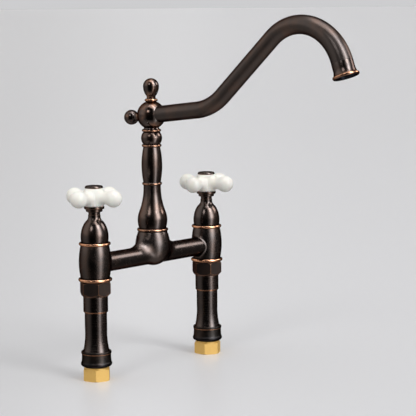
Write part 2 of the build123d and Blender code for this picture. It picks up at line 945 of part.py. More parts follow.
with BuildPart() as spout_column:
    with BuildSketch(Plane.XZ):
        with BuildLine():
            ring_end = bead(
                (foot_ring_root_radius, column_base), foot_ring_radius,
                foot_ring_height, bulb_foot_radius,
            )
            bulb_base = ring_end[1]
            shoulder = (bulb_shoulder_radius, bulb_base + bulb_shoulder_rise)
            waist = (waist_radius, bulb_base + waist_rise)
            bulb = ThreePointArc(
                ring_end, (bulb_radius, bulb_base + bulb_rise), shoulder
            )
            TangentArc(shoulder, waist, tangent=bulb % 1)
            vase_foot = bead(waist, waist_ring_radius, waist_ring_height,
                             vase_foot_radius)
            vase_top = (vase_top_radius, vase_foot[1] + vase_height)
            ThreePointArc(
                vase_foot, (vase_radius, vase_foot[1] + vase_height / 2), vase_top
            )
            ball_foot = bead(vase_top, vase_ring_radius, vase_ring_height,
                             vase_top_radius)
            ball_head = bead(ball_foot, small_ball_radius, small_ball_height,
                             neck_ring_root_radius)
            neck_foot = bead(ball_head, neck_ring_radius, neck_ring_height,
                             neck_ring_root_radius)
            Polyline(
                neck_foot, (neck_radius, column_top), (column_tenon_radius, column_top),
                (column_tenon_radius, column_top + column_tenon_height),
                (column_bore_radius, column_top + column_tenon_height),
                (column_bore_radius, tenon_top + fit_gap),
                (spigot_tenon_radius + fit_gap, tenon_top + fit_gap),
                (spigot_tenon_radius + fit_gap, column_base),
                (foot_ring_root_radius, column_base),
            )
        make_face()
    revolve(axis=Axis.Z)
write(spout_column, "spout_column")


# ---------------------------------------------------------------- ball, finial and knob

cap_seat = ball_height + ball_cap_rise
stud_hole = stud_radius + fit_gap
back = spout_direction * -1
knob_seat = ball_centre + back * sqrt(ball_radius**2 - knob_seat_radius**2)
tube_hole = Plane(ball_centre + spout_direction * spout_start, z_dir=spout_direction)

with BuildPart() as ball_hub:
    with Locations((0, 0, ball_height)):
        Sphere(ball_radius)
    with BuildSketch(Plane.XY.offset(cap_seat)):
        Circle(ball_radius)
    extrude(amount=ball_radius, mode=Mode.SUBTRACT)
    with BuildSketch(Plane.XY.offset(column_top)):
        Circle(ball_radius)
    extrude(amount=-ball_radius, mode=Mode.SUBTRACT)
    with BuildSketch(Plane(knob_seat, z_dir=back)):
        Circle(ball_radius)
    extrude(amount=ball_radius, mode=Mode.SUBTRACT)
    bore(0, column_top, column_top + column_tenon_height + fit_gap,
         column_tenon_radius + fit_gap)
    bore(0, column_top, ball_height, ball_bore_radius)
    bore(0, cap_seat - stud_length - fit_gap, cap_seat, stud_hole)
    with BuildSketch(Plane(knob_seat, z_dir=back)):
        Circle(stud_hole)
    extrude(amount=-stud_length - fit_gap, mode=Mode.SUBTRACT)
    with BuildSketch(tube_hole):
        Circle(spout_radius + fit_gap)
    extrude(amount=ball_radius, mode=Mode.SUBTRACT)
    with BuildSketch(tube_hole):
        Circle(ball_bore_radius)
    extrude(amount=-spout_start, mode=Mode.SUBTRACT)
write(ball_hub, "ball_hub")


def studded_cap(plane, outline):
    """A turned ornament with a stud behind it, from the outline drawn by a function."""
    with BuildPart() as cap:
        with BuildSketch(plane):
            with BuildLine():
                start, end = outline()
                Polyline(
                    end, (0, -stud_length), (stud_radius, -stud_length),
                    (stud_radius, 0), start,
                )
            make_face()
        revolve(axis=Axis(plane.origin, plane.y_dir))
    return cap


def finial_outline():
    """The finial: a ring, a neck and an egg."""
    start = (ball_cap_radius, 0)
    ring_top = bead(start, cap_ring_radius, cap_ring_height, finial_neck_radius)
    egg_base = (finial_neck_radius, ring_top[1] + finial_neck_height)
    egg_widest = (finial_egg_radius, egg_base[1] + finial_egg_rise)
    end = (0, egg_widest[1] + finial_egg_radius)
    Line(ring_top, egg_base)
    TangentArc(egg_widest, egg_base, tangent=(0, -1))
    CenterArc((0, egg_widest[1]), finial_egg_radius, start_angle=0, arc_size=90)
    return start, end


def knob_outline():
    """The rear knob: a ring, a neck and a round ball."""
    start = (knob_seat_radius, 0)
    ring_top = bead(start, knob_ring_radius, knob_ring_height, knob_seat_radius)
    neck_base = (knob_neck_radius, knob_ring_height)
    ball_base = (knob_neck_radius, knob_ring_height + knob_neck_height)
    rise = sqrt(knob_radius**2 - knob_neck_radius**2)
    end = (0, ball_base[1] + rise + knob_radius)
    Polyline(ring_top, neck_base, ball_base)
    ThreePointArc(ball_base, (knob_radius, ball_base[1] + rise), end)
    return start, end


finial_plane = turning_plane(Vector(0, 0, cap_seat), Vector(0, 0, 1))
write(studded_cap(finial_plane, finial_outline), "finial")
write(studded_cap(turning_plane(knob_seat, back), knob_outline), "rear_knob")


# ---------------------------------------------------------------- spout tube and outlet

tube_run = first_run_length - spout_start

with BuildPart() as spout_tube:
    with BuildLine(spout_plane) as lower_route:
        start_line = PolarLine(axis_line @ (spout_start / first_run_length), tube_run,
                               first_run_rise)
        add([bend, diagonal])
    with BuildSketch(Plane(start_line @ 0, z_dir=spout_direction)):
        Circle(spout_radius)
        Circle(spout_radius - spout_wall, mode=Mode.SUBTRACT)
    sweep(path=lower_route.line)
    for wall, mode in ((0, Mode.ADD), (spout_wall, Mode.SUBTRACT)):
        for n in range(hook_sections):
            along = n / (hook_sections - 1)
            section_radius = spout_radius + (hook_end_radius - spout_radius) * along
            with BuildSketch(Plane(hook @ along, x_dir=(1, 0, 0), z_dir=hook % along)):
                Circle(section_radius - wall)
        loft(mode=mode)
write(spout_tube, "spout_tube")


def along_flow(distance):
    """The plane across the flow at a distance from the shell's upper edge."""
    return Plane(shell_start + flow * distance, x_dir=(1, 0, 0), z_dir=flow)


outlet_plane = turning_plane(shell_start, flow)
outlet_axis = Axis(shell_start, flow)
tenon_radius = hook_end_radius - spout_wall - outlet_tenon_gap
throat_radius = tenon_radius - outlet_tenon_wall
ring_start = outlet_length - outlet_ring_height

with BuildPart() as outlet_shell:
    with BuildSketch(outlet_plane):
        with BuildLine():
            Line((hook_end_radius, 0), (hook_end_radius, outlet_flare_start))
            TangentArc(
                (hook_end_radius, outlet_flare_start), (outlet_throat_radius, ring_start),
                tangent=(0, 1),
            )
            ThreePointArc(
                (outlet_throat_radius, ring_start),
                (outlet_ring_radius, ring_start + outlet_ring_height / 2),
                (outlet_rim_radius, outlet_length),
            )
            Polyline(
                (outlet_rim_radius, outlet_length), (outlet_mouth_radius, outlet_length),
                (outlet_bore_radius, outlet_length - outlet_mouth_depth),
                (outlet_bore_radius, outlet_seat_depth),
                (throat_radius, outlet_seat_depth),
                (throat_radius, -outlet_tenon_length),
                (tenon_radius, -outlet_tenon_length), (tenon_radius, 0),
                (hook_end_radius, 0),
            )
        make_face()
    revolve(axis=outlet_axis)
write(outlet_shell, "outlet_shell")

insert_radius = outlet_bore_radius - fit_gap
pocket_radius = insert_radius - screen_rim
insert_start = outlet_seat_depth + gasket_height

with BuildPart() as aerator_gasket:
    with BuildSketch(along_flow(outlet_seat_depth)):
        Circle(insert_radius)
        Circle(insert_radius - gasket_width, mode=Mode.SUBTRACT)
    extrude(amount=gasket_height)
write(aerator_gasket, "aerator_gasket")

with BuildPart() as aerator_insert:
    with BuildSketch(along_flow(insert_start)):
        Circle(insert_radius)
        for circle_radius, count in nozzle_rows.items():
            with PolarLocations(circle_radius, count):
                Circle(nozzle_radius, mode=Mode.SUBTRACT)
    extrude(amount=aerator_height)
    with BuildSketch(along_flow(insert_start + aerator_height)):
        Circle(pocket_radius)
    extrude(amount=-screen_height, mode=Mode.SUBTRACT)
write(aerator_insert, "aerator_insert")

with BuildPart() as aerator_screen:
    with BuildSketch(along_flow(insert_start + aerator_height)):
        Circle(pocket_radius - fit_gap)
        with GridLocations(screen_pitch, screen_pitch, screen_rows, screen_rows) as grid:
            holes = [
                place.position
                for place in grid.local_locations
                if place.position.length < pocket_radius - screen_pitch / 2
            ]
        with Locations(*holes):
            Circle(screen_hole_radius, mode=Mode.SUBTRACT)
    extrude(amount=-screen_height)
write(aerator_screen, "aerator_screen")
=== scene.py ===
"""Dress a bridge kitchen faucet: dark bronze, brass and porcelain on a pale studio floor.

Sizes are in millimetres and become metres when a mesh is made. Every piece keeps its
place in its mesh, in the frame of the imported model: +Z up, the bridge along X and the
spout towards -Y.
"""

from __future__ import annotations

import json
import logging
import math
from dataclasses import dataclass
from enum import Enum
from typing import Iterable, Sequence

import bmesh
import bpy
import numpy as np
from mathutils import Matrix, Quaternion, Vector

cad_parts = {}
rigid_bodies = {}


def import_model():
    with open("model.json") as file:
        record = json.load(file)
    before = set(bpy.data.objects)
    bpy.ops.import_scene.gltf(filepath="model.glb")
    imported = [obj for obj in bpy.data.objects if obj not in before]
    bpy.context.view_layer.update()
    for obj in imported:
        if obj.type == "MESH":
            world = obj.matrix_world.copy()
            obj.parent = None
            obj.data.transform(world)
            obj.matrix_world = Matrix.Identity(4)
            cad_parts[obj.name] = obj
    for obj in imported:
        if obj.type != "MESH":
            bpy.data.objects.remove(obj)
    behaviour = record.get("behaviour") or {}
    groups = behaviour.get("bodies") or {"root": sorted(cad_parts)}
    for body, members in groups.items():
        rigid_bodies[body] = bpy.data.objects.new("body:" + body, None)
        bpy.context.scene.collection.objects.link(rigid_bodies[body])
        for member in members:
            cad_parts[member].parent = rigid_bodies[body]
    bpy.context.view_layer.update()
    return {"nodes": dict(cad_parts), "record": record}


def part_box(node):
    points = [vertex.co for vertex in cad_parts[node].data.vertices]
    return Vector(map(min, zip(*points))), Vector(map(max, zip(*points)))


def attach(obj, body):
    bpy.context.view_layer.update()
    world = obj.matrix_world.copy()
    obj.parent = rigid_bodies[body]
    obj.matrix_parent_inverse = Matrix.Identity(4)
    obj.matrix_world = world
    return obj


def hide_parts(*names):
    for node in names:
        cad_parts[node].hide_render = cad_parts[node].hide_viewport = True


MM = 0.001
FULL_TURN = 2 * math.pi
UP = Vector((0, 0, 1)).freeze()
ON_AXIS = 1e-6  # a turned point nearer the axis than this is a single pole
CORNER_STEPS = (0.0, 0.33, 0.67, 1.0)
MIX_FACTOR, MIX_FIRST, MIX_SECOND = 0, 6, 7  # a colour Mix node's sockets
LOG = logging.getLogger("faucet")
Colour = tuple[float, float, float]
Point = tuple[float, float]
Socket = bpy.types.NodeSocket


class Side(Enum):
    """The two ends of the bridge, with the sign of their X."""

    HOT = -1
    COLD = 1

    @property
    def label(self) -> str:
        """The side's word in node names."""
        return self.name.lower()

    def axis(self, half_centres: float) -> Vector:
        """The foot of the side's upright axis."""
        return Vector((self.value * half_centres, 0, 0))


class Slot(Enum):
    """The record's material slots."""

    BRONZE = "dark_bronze"
    BRASS = "polished_brass"
    PLAIN_BRASS = "plain_brass"
    PORCELAIN = "porcelain"
    DISC = "disc_ceramic"
    RUBBER = "black_rubber"
    FIBRE = "fibre"
    STEEL = "steel"
    PLASTIC = "grey_plastic"


# ---------------------------------------------------------------- node trees


@dataclass(frozen=True)
class Cloud:
    """Soft noise over a piece, and how the part of its range that shows is spread."""

    scale: float
    detail: float
    rough: float
    low: float
    high: float
    to_low: float = 0.0
    to_high: float = 1.0


@dataclass(frozen=True)
class Grain:
    """A fine relief, its features counted per metre and its depth in metres."""

    scale: float
    detail: float
    depth: float
    rough: float = 0.5
    stretch: Colour | None = None


class NodeBoard:
    """A node tree with short helpers for building it."""

    def __init__(self, tree: bpy.types.NodeTree) -> None:
        """Work on a tree.

        Args:
            tree: The tree to build in.
        """
        self.tree = tree

    def feed(self, socket: Socket, value: object) -> None:
        """Link an output to a socket, or set the socket's own value.

        Args:
            socket: The input.
            value: An output, a colour, a number or a word.
        """
        if isinstance(value, Socket):
            self.tree.links.new(value, socket)
        elif isinstance(value, tuple) and socket.type == "RGBA":
            socket.default_value = (*value, 1.0)
        else:
            socket.default_value = value

    def node(self, kind: str, settings: dict[str, object] | None = None,
             **inputs: object) -> bpy.types.Node:
        """Add a node.

        Args:
            kind: The node's type.
            settings: The node's own properties.
            inputs: Values or outputs for its inputs, an underscore standing for a space.

        Returns:
            The new node.
        """
        made = self.tree.nodes.new(kind)
        for key, value in (settings or {}).items():
            setattr(made, key, value)
        for key, value in inputs.items():
            self.feed(made.inputs[key.replace("_", " ")], value)
        return made

    def maths(self, operation: str, *values: object, clamp: bool = False) -> Socket:
        """Work out one number from others.

        Args:
            operation: The Math node's operation.
            values: Numbers or sockets.
            clamp: Whether the result is held between 0 and 1.

        Returns:
            The result.
        """
        made = self.node("ShaderNodeMath", {"operation": operation, "use_clamp": clamp})
        for socket, value in zip(made.inputs, values):
            self.feed(socket, value)
        return made.outputs[0]

    def measure(self, operation: str, *vectors: object) -> Socket:
        """Work out one number from vectors.

        Args:
            operation: The Vector Math node's operation.
            vectors: Vectors or sockets.

        Returns:
            The result.
        """
        made = self.node("ShaderNodeVectorMath", {"operation": operation})
        for socket, vector in zip(made.inputs, vectors):
            self.feed(socket, vector)
        return made.outputs["Value"]

    def axes(self, vector: Socket) -> bpy.types.NodeOutputs:
        """A vector's X, Y and Z."""
        return self.node("ShaderNodeSeparateXYZ", Vector=vector).outputs

    def spread(self, value: object, low: float, high: float, to_low: float = 0.0,
               to_high: float = 1.0) -> Socket:
        """Map a range smoothly onto another.

        Args:
            value: The number to map.
            low: Where the range starts.
            high: Where it ends.
            to_low: What its start becomes.
            to_high: What its end becomes.

        Returns:
            The mapped number.
        """
        made = self.node("ShaderNodeMapRange", {"interpolation_type": "SMOOTHSTEP"})
        for socket, number in zip(made.inputs, (value, low, high, to_low, to_high)):
            self.feed(socket, number)
        return made.outputs[0]

    def blend(self, factor: object, first: object, second: object) -> Socket:
        """Mix two colours.

        Args:
            factor: The second colour's share.
            first: A colour or a socket.
            second: Another one.

        Returns:
            The mixed colour.
        """
        made = self.node("ShaderNodeMix", {"data_type": "RGBA"})
        self.feed(made.inputs[MIX_FACTOR], factor)
        self.feed(made.inputs[MIX_FIRST], first)
        self.feed(made.inputs[MIX_SECOND], second)
        return made.outputs[2]


class ShaderBoard(NodeBoard):
    """A material's node tree with one Principled shader."""

    def __init__(self, name: str) -> None:
        """Start an empty material.

        Args:
            name: The material's name.
        """
        self.material = bpy.data.materials.new(name)
        self.material.use_nodes = True
        super().__init__(self.material.node_tree)
        self.tree.nodes.clear()
        self.output = self.node("ShaderNodeOutputMaterial")
        self.shader = self.node("ShaderNodeBsdfPrincipled")
        self.feed(self.output.inputs[0], self.shader.outputs[0])

    def set(self, **values: float | Colour) -> None:
        """Set the shader's own sockets.

        Args:
            values: Socket names with their values, an underscore standing for a space.
        """
        for key, value in values.items():
            self.feed(self.shader.inputs[key.replace("_", " ")], value)

    def wire(self, source: Socket, key: str) -> None:
        """Lead a socket to one of the shader's inputs."""
        self.feed(self.shader.inputs[key], source)

    def place(self) -> Socket:
        """The surface's place on the piece, in metres."""
        return self.node("ShaderNodeTexCoord").outputs["Object"]

    def stretched(self, scale: Colour) -> Socket:
        """The surface's place, scaled along each axis."""
        return self.node("ShaderNodeMapping", Vector=self.place(), Scale=scale).outputs[0]

    def noise(self, scale: float, detail: float = 3.0, rough: float = 0.5,
              vector: Socket | None = None) -> Socket:
        """Noise over the piece.

        Args:
            scale: Features per metre.
            detail: Octaves.
            rough: How strong the finer octaves are.
            vector: Another place to read, such as a stretched one.

        Returns:
            The noise.
        """
        made = self.node("ShaderNodeTexNoise", Vector=vector or self.place(), Scale=scale,
                         Detail=detail, Roughness=rough)
        return made.outputs[0]

    def cloud(self, cloud: Cloud, base: float = 0.0) -> Socket:
        """Noise, spread as a cloud says.

        Args:
            cloud: The cloud.
            base: What is added to its spread.

        Returns:
            The spread noise.
        """
        noise = self.noise(cloud.scale, cloud.detail, cloud.rough)
        return self.spread(noise, cloud.low, cloud.high, base + cloud.to_low,
                           base + cloud.to_high)

    def lines(self, per_mm: float, detail: float = 2.0) -> Socket:
        """Noise that only changes along a turned piece's outline, as tool marks do.

        Args:
            per_mm: Features per millimetre.
            detail: Octaves.

        Returns:
            The noise.
        """
        spot = self.maths("MULTIPLY", self.attribute("run"), per_mm)
        made = self.node("ShaderNodeTexNoise", {"noise_dimensions": "1D"}, W=spot, Scale=1.0,
                         Detail=detail)
        return made.outputs[0]

    def attribute(self, name: str) -> Socket:
        """A number that the mesh carries, or 0 where it carries none."""
        return self.node("ShaderNodeAttribute", {"attribute_name": name}).outputs["Fac"]

    def relief(self, *grains: Grain, turned: Grain | None = None) -> None:
        """Stack bumps on the shader's normal.

        Args:
            grains: The bumps all over.
            turned: Tool marks round a turned piece, with features per millimetre.
        """
        layers = []
        for grain in grains:
            place = self.stretched(grain.stretch) if grain.stretch else None
            height = self.noise(grain.scale, grain.detail, grain.rough, place)
            layers.append((height, grain.depth))
        if turned:
            layers.append((self.lines(turned.scale, turned.detail), turned.depth))
        below: dict[str, object] = {}
        for height, distance in layers:
            made = self.node("ShaderNodeBump", Height=height, Strength=1.0, Distance=distance,
                             **below)
            below = {"Normal": made.outputs[0]}
        self.wire(below["Normal"], "Normal")


# ---------------------------------------------------------------- finishes


@dataclass(frozen=True)
class BronzeFinish:
    """Oil-rubbed bronze: nearly black metal, rubbed back to copper where it is worn, and drawn
    near black as painted shade where a point's value is negative.
    """

    name: str
    dark: Colour = (0.060, 0.050, 0.0465)
    brown: Colour = (0.130, 0.078, 0.056)
    copper: Colour = (0.58, 0.29, 0.165)
    # Near-black colour of the painted shade in the outlet's mouth and on the base flanges.
    inside: Colour = (0.010, 0.011, 0.014)
    edge_tint: Colour = (0.30, 0.26, 0.25)
    roughness: float = 0.20
    browning: float = 0.35
    turned: bool = False
    ring_roughness: float = 0.14
    patina: Cloud = Cloud(55, 4, 0.6, 0.42, 0.72)
    rubbing: Cloud = Cloud(420, 3, 0.6, 0.30, 0.62, 0.55, 1.0)
    smudge: Cloud = Cloud(110, 4, 0.6, 0.3, 0.75, -0.03, 0.05)
    pits: Grain = Grain(900, 2, 0.0000015)
    hammering: Grain = Grain(120, 2, 0.000003)
    tool_marks: Grain = Grain(1.6, 3, 0.00006)
    worn_edge: float = 0.0
    edge_bend: Point = (0.998, 0.92)
    bands: tuple[Point, ...] = ()
    band_reach: float = 0.0

    def build(self) -> bpy.types.Material:
        """Build the material.

        Returns:
            The finished material.
        """
        board = ShaderBoard(self.name)
        browned = board.maths("MULTIPLY", board.cloud(self.patina), self.browning)
        body = board.blend(browned, self.dark, self.brown)
        worn = board.maths("MULTIPLY", self._wear(board), board.cloud(self.rubbing), clamp=True)
        shown = board.blend(worn, body, self.copper)
        # Painted shade: a negative rub value blends the colour towards the near-black shade
        # colour.
        inside = board.maths("MULTIPLY", board.attribute("rub"), -1.0, clamp=True)
        board.wire(board.blend(inside, shown, self.inside), "Base Color")
        rough = board.cloud(self.smudge, self.roughness)
        if self.turned:
            ring = board.spread(board.lines(1.1, 3), 0.3, 0.7, -0.5, 0.5)
            ring = board.maths("MULTIPLY", ring, self.ring_roughness)
            rough = board.maths("ADD", rough, ring)
        board.wire(rough, "Roughness")
        board.relief(self.pits, self.hammering, turned=self.tool_marks if self.turned else None)
        board.set(Metallic=1.0, Specular_Tint=self.edge_tint)
        return board.material

    def _wear(self, board: ShaderBoard) -> Socket:
        """Add up the places where the copper shows.

        Args:
            board: The material being built.

        Returns:
            The wear, 0 for untouched and 1 for bright.
        """
        wear_and_shade = board.attribute("rub")
        across, _, height = board.axes(board.place())
        for centre, half in self.bands:
            off = board.maths("SUBTRACT", height, centre * MM)
            off = board.maths("ABSOLUTE", off)
            band = board.spread(off, half * 0.55 * MM, half * 1.05 * MM, 1.0, 0.0)
            reach = board.spread(board.maths("ABSOLUTE", across), (self.band_reach - 2) * MM,
                                 self.band_reach * MM)
            wear_and_shade = board.maths("MAXIMUM", wear_and_shade, board.maths("MULTIPLY", band, reach))
        if self.worn_edge:
            rounded = board.node("ShaderNodeBevel", {"samples": 8}, Radius=self.worn_edge * MM)
            plain = board.node("ShaderNodeNewGeometry").outputs["Normal"]
            bend = board.measure("DOT_PRODUCT", rounded.outputs[0], plain)
            wear_and_shade = board.maths("MAXIMUM", wear_and_shade, board.spread(bend, *self.edge_bend))
        return wear_and_shade


@dataclass(frozen=True)
class BrassFinish:
    """Bright machined brass."""

    name: str
    colour: Colour = (0.79, 0.49, 0.135)
    tarnish: Colour = (0.68, 0.38, 0.085)
    roughness: float = 0.40
    dulling: Cloud = Cloud(140, 4, 0.65, 0.45, 0.80, 0.0, 0.35)
    specks: Cloud = Cloud(1900, 2, 0.6, 0.3, 0.7, -0.06, 0.08)
    pits: Grain = Grain(1900, 2, 0.00002, 0.6)
    scuffs: Grain = Grain(700, 2, 0.00001, stretch=(1, 1, 6))

    def build(self) -> bpy.types.Material:
        """Build the material.

        Returns:
            The finished material.
        """
        board = ShaderBoard(self.name)
        dull = board.cloud(self.dulling)
        board.wire(board.blend(dull, self.colour, self.tarnish), "Base Color")
        board.wire(board.cloud(self.specks, self.roughness), "Roughness")
        board.relief(self.pits, self.scuffs)
        board.set(Metallic=0.15, Specular_IOR_Level=0.35)
        return board.material


@dataclass(frozen=True)
class PorcelainFinish:
    """Warm white porcelain under a thick clear glaze."""

    name: str
    colour: Colour = (0.93, 0.91, 0.845)
    cream: Colour = (0.88, 0.835, 0.74)
    roughness: float = 0.50
    pooling: Cloud = Cloud(70, 3, 0.5, 0.40, 0.75, 0.0, 0.45)
    haze: Cloud = Cloud(240, 3, 0.5, 0.3, 0.7, -0.04, 0.06)
    waves: Grain = Grain(90, 2, 0.0001)
    pinholes: Grain = Grain(900, 2, 0.000004)

    def build(self) -> bpy.types.Material:
        """Build the material.

        Returns:
            The finished material.
        """
        board = ShaderBoard(self.name)
        pooled = board.cloud(self.pooling)
        board.wire(board.blend(pooled, self.colour, self.cream), "Base Color")
        board.wire(board.cloud(self.haze, self.roughness), "Roughness")
        board.relief(self.waves, self.pinholes)
        board.set(Coat_Weight=0.06, Coat_Roughness=0.30, Subsurface_Weight=0.10,
                  Subsurface_Scale=0.003, IOR=1.42)
        return board.material


@dataclass(frozen=True)
class PlainFinish:
    """A simple stuff for the hidden pieces and the aerator."""

    name: str
    colour: Colour
    mottle: Colour
    roughness: float
    metallic: float = 0.0
    mottling: Cloud = Cloud(600, 3, 0.6, 0.35, 0.70)
    dulled: float = 0.10
    pits: Grain = Grain(1200, 2, 0.00001)

    def build(self) -> bpy.types.Material:
        """Build the material.

        Returns:
            The finished material.
        """
        board = ShaderBoard(self.name)
        mottled = board.cloud(self.mottling)
        board.wire(board.blend(mottled, self.colour, self.mottle), "Base Color")
        rough = board.spread(mottled, 0.0, 1.0, self.roughness, self.roughness + self.dulled)
        board.wire(rough, "Roughness")
        board.relief(self.pits)
        board.set(Metallic=self.metallic)
        return board.material


# ---------------------------------------------------------------- turned pieces


def arc_through(start: Point, middle: Point, end: Point, steps: int) -> list[Point]:
    """Points on the arc through three points.

    Args:
        start: Where the arc starts.
        middle: A point on it.
        end: Where it ends.
        steps: How many points to return, the end included.

    Returns:
        The points after the start.
    """
    (ax, ay), (bx, by), (cx, cy) = start, middle, end
    turn = 2 * (ax * (by - cy) + bx * (cy - ay) + cx * (ay - by))
    squares = [x * x + y * y for x, y in (start, middle, end)]
    ux = (squares[0] * (by - cy) + squares[1] * (cy - ay) + squares[2] * (ay - by)) / turn
    uy = (squares[0] * (cx - bx) + squares[1] * (ax - cx) + squares[2] * (bx - ax)) / turn
    radius = math.hypot(ax - ux, ay - uy)
    first = math.atan2(ay - uy, ax - ux)
    sweep = (math.atan2(cy - uy, cx - ux) - first) % FULL_TURN
    part = (math.atan2(by - uy, bx - ux) - first) % FULL_TURN
    if part > sweep:
        sweep -= FULL_TURN
    return arc_points((ux, uy), radius, first, sweep, steps)


def arc_from(start: Point, end: Point, tangent: Point, steps: int) -> list[Point]:
    """Points on the arc that leaves the start along a tangent and reaches the end.

    Args:
        start: Where the arc starts.
        end: Where it ends.
        tangent: Its direction at the start.
        steps: How many points to return, the end included.

    Returns:
        The points after the start.
    """
    dx, dy = end[0] - start[0], end[1] - start[1]
    size = math.hypot(*tangent)
    tx, ty = tangent[0] / size, tangent[1] / size
    nx, ny = -ty, tx
    radius = (dx * dx + dy * dy) / (2 * (dx * nx + dy * ny))
    cx, cy = start[0] + nx * radius, start[1] + ny * radius
    half_turn = math.atan2(dy * tx - dx * ty, dx * tx + dy * ty)
    first = math.atan2(start[1] - cy, start[0] - cx)
    return arc_points((cx, cy), abs(radius), first, 2 * half_turn, steps)


def arc_points(centre: Point, radius: float, first: float, sweep: float,
               steps: int) -> list[Point]:
    """Points round a centre, the first one left out.

    Args:
        centre: The arc's centre.
        radius: Its radius.
        first: The angle where it starts.
        sweep: How far it turns.
        steps: How many points to return.

    Returns:
        The points.
    """
    return [(centre[0] + radius * math.cos(first + sweep * n / steps),
             centre[1] + radius * math.sin(first + sweep * n / steps))
            for n in range(1, steps + 1)]


def raised(point: Point, base: float) -> Point:
    """A point whose height is given above a base."""
    return point[0], base + point[1]


class Outline:
    """A closed turned outline, each point with how far it is worn to copper, negative for painted
    shade, and whether it is a corner.
    """

    def __init__(self, radius: float, height: float, rub: float = 0.0,
                 corner: bool = True) -> None:
        """Start the outline.

        Args:
            radius: The first point's distance from the axis.
            height: The first point's height.
            rub: How far it is worn to copper, or where negative, how dark its painted shade is.
            corner: Whether it is a corner.
        """
        self.points: list[tuple[float, float, float, bool]] = [(radius, height, rub, corner)]

    @property
    def end(self) -> Point:
        """The last point."""
        return self.points[-1][:2]

    @property
    def heading(self) -> Point:
        """The direction of the last step."""
        before, last = self.points[-2], self.points[-1]
        return last[0] - before[0], last[1] - before[1]

    def to(self, *corners: tuple[float, ...]) -> Outline:
        """Go straight to each corner, given as radius, height and its value for worn copper and
        painted shade.

        Args:
            corners: The corners in order. The value for worn copper and painted shade may be left
                out.

        Returns:
            The outline itself.
        """
        for radius, height, *rub in corners:
            self.points.append((radius, height, rub[0] if rub else 0.0, True))
        return self

    def smooth_to(self, radius: float, height: float, rub: float = 0.0) -> Outline:
        """Go straight to a point that isn't a corner."""
        self.points.append((radius, height, rub, False))
        return self

    def follow(self, curve: Sequence[Point], rubs_and_shades: Sequence[float], corner: bool) -> Outline:
        """Take a curve's points, their values for worn copper and painted shade spread evenly
        from a few.

        Args:
            curve: The points.
            rubs_and_shades: Values from the curve's start to its end, positive for worn copper
                and negative for painted shade.
            corner: Whether the curve's end is a corner.

        Returns:
            The outline itself.
        """
        spots = np.linspace(0, 1, len(curve) + 1)[1:]
        wear_and_shade = np.interp(spots, np.linspace(0, 1, len(rubs_and_shades)), rubs_and_shades)
        for n, ((radius, height), rub) in enumerate(zip(curve, wear_and_shade)):
            sharp = corner and n == len(curve) - 1
            self.points.append((max(radius, 0.0), height, float(rub), sharp))
        return self

    def arc(self, middle: Point, end: Point, rubs_and_shades: Sequence[float] = (0.0, 0.0),
            steps: int = 16, corner: bool = False) -> Outline:
        """Follow the arc through a middle point to the end."""
        return self.follow(arc_through(self.end, middle, end, steps), rubs_and_shades, corner)

    def tangent_arc(self, end: Point, tangent: Point, rubs_and_shades: Sequence[float] = (0.0, 0.0),
                    steps: int = 16, corner: bool = False) -> Outline:
        """Follow the arc that leaves along a tangent."""
        return self.follow(arc_from(self.end, end, tangent, steps), rubs_and_shades, corner)

    def bead(self, peak: float, height: float, end_radius: float,
             rubs_and_shades: Sequence[float] = (0.0, 0.0, 0.70, 0.0, 0.0)) -> Outline:
        """Follow a rounded ring, bright at its crown."""
        start = self.end[1]
        return self.arc((peak, start + height / 2), (end_radius, start + height), rubs_and_shades, 14, True)

    def softened(self, radius: float) -> list[tuple[float, float, float]]:
        """Round the corners.

        Args:
            radius: How far from each corner the rounding starts.

        Returns:
            Radius, height and wear along the rounded outline.
        """
        done: list[tuple[float, float, float]] = []
        count = len(self.points)
        for n, (x, y, rub, corner) in enumerate(self.points):
            if not corner or x < ON_AXIS:
                done.append((x, y, rub))
                continue
            arms = []
            for other in (self.points[n - 1], self.points[(n + 1) % count]):
                span = math.hypot(other[0] - x, other[1] - y)
                pull = min(radius, span * 0.4) / max(span, 1e-9)
                arms.append((x + (other[0] - x) * pull, y + (other[1] - y) * pull))
            (ax, ay), (bx, by) = arms
            for t in CORNER_STEPS:
                near, middle, far = (1 - t) ** 2, 2 * t * (1 - t), t * t
                done.append((near * ax + middle * x + far * bx,
                             near * ay + middle * y + far * by, rub))
        return done


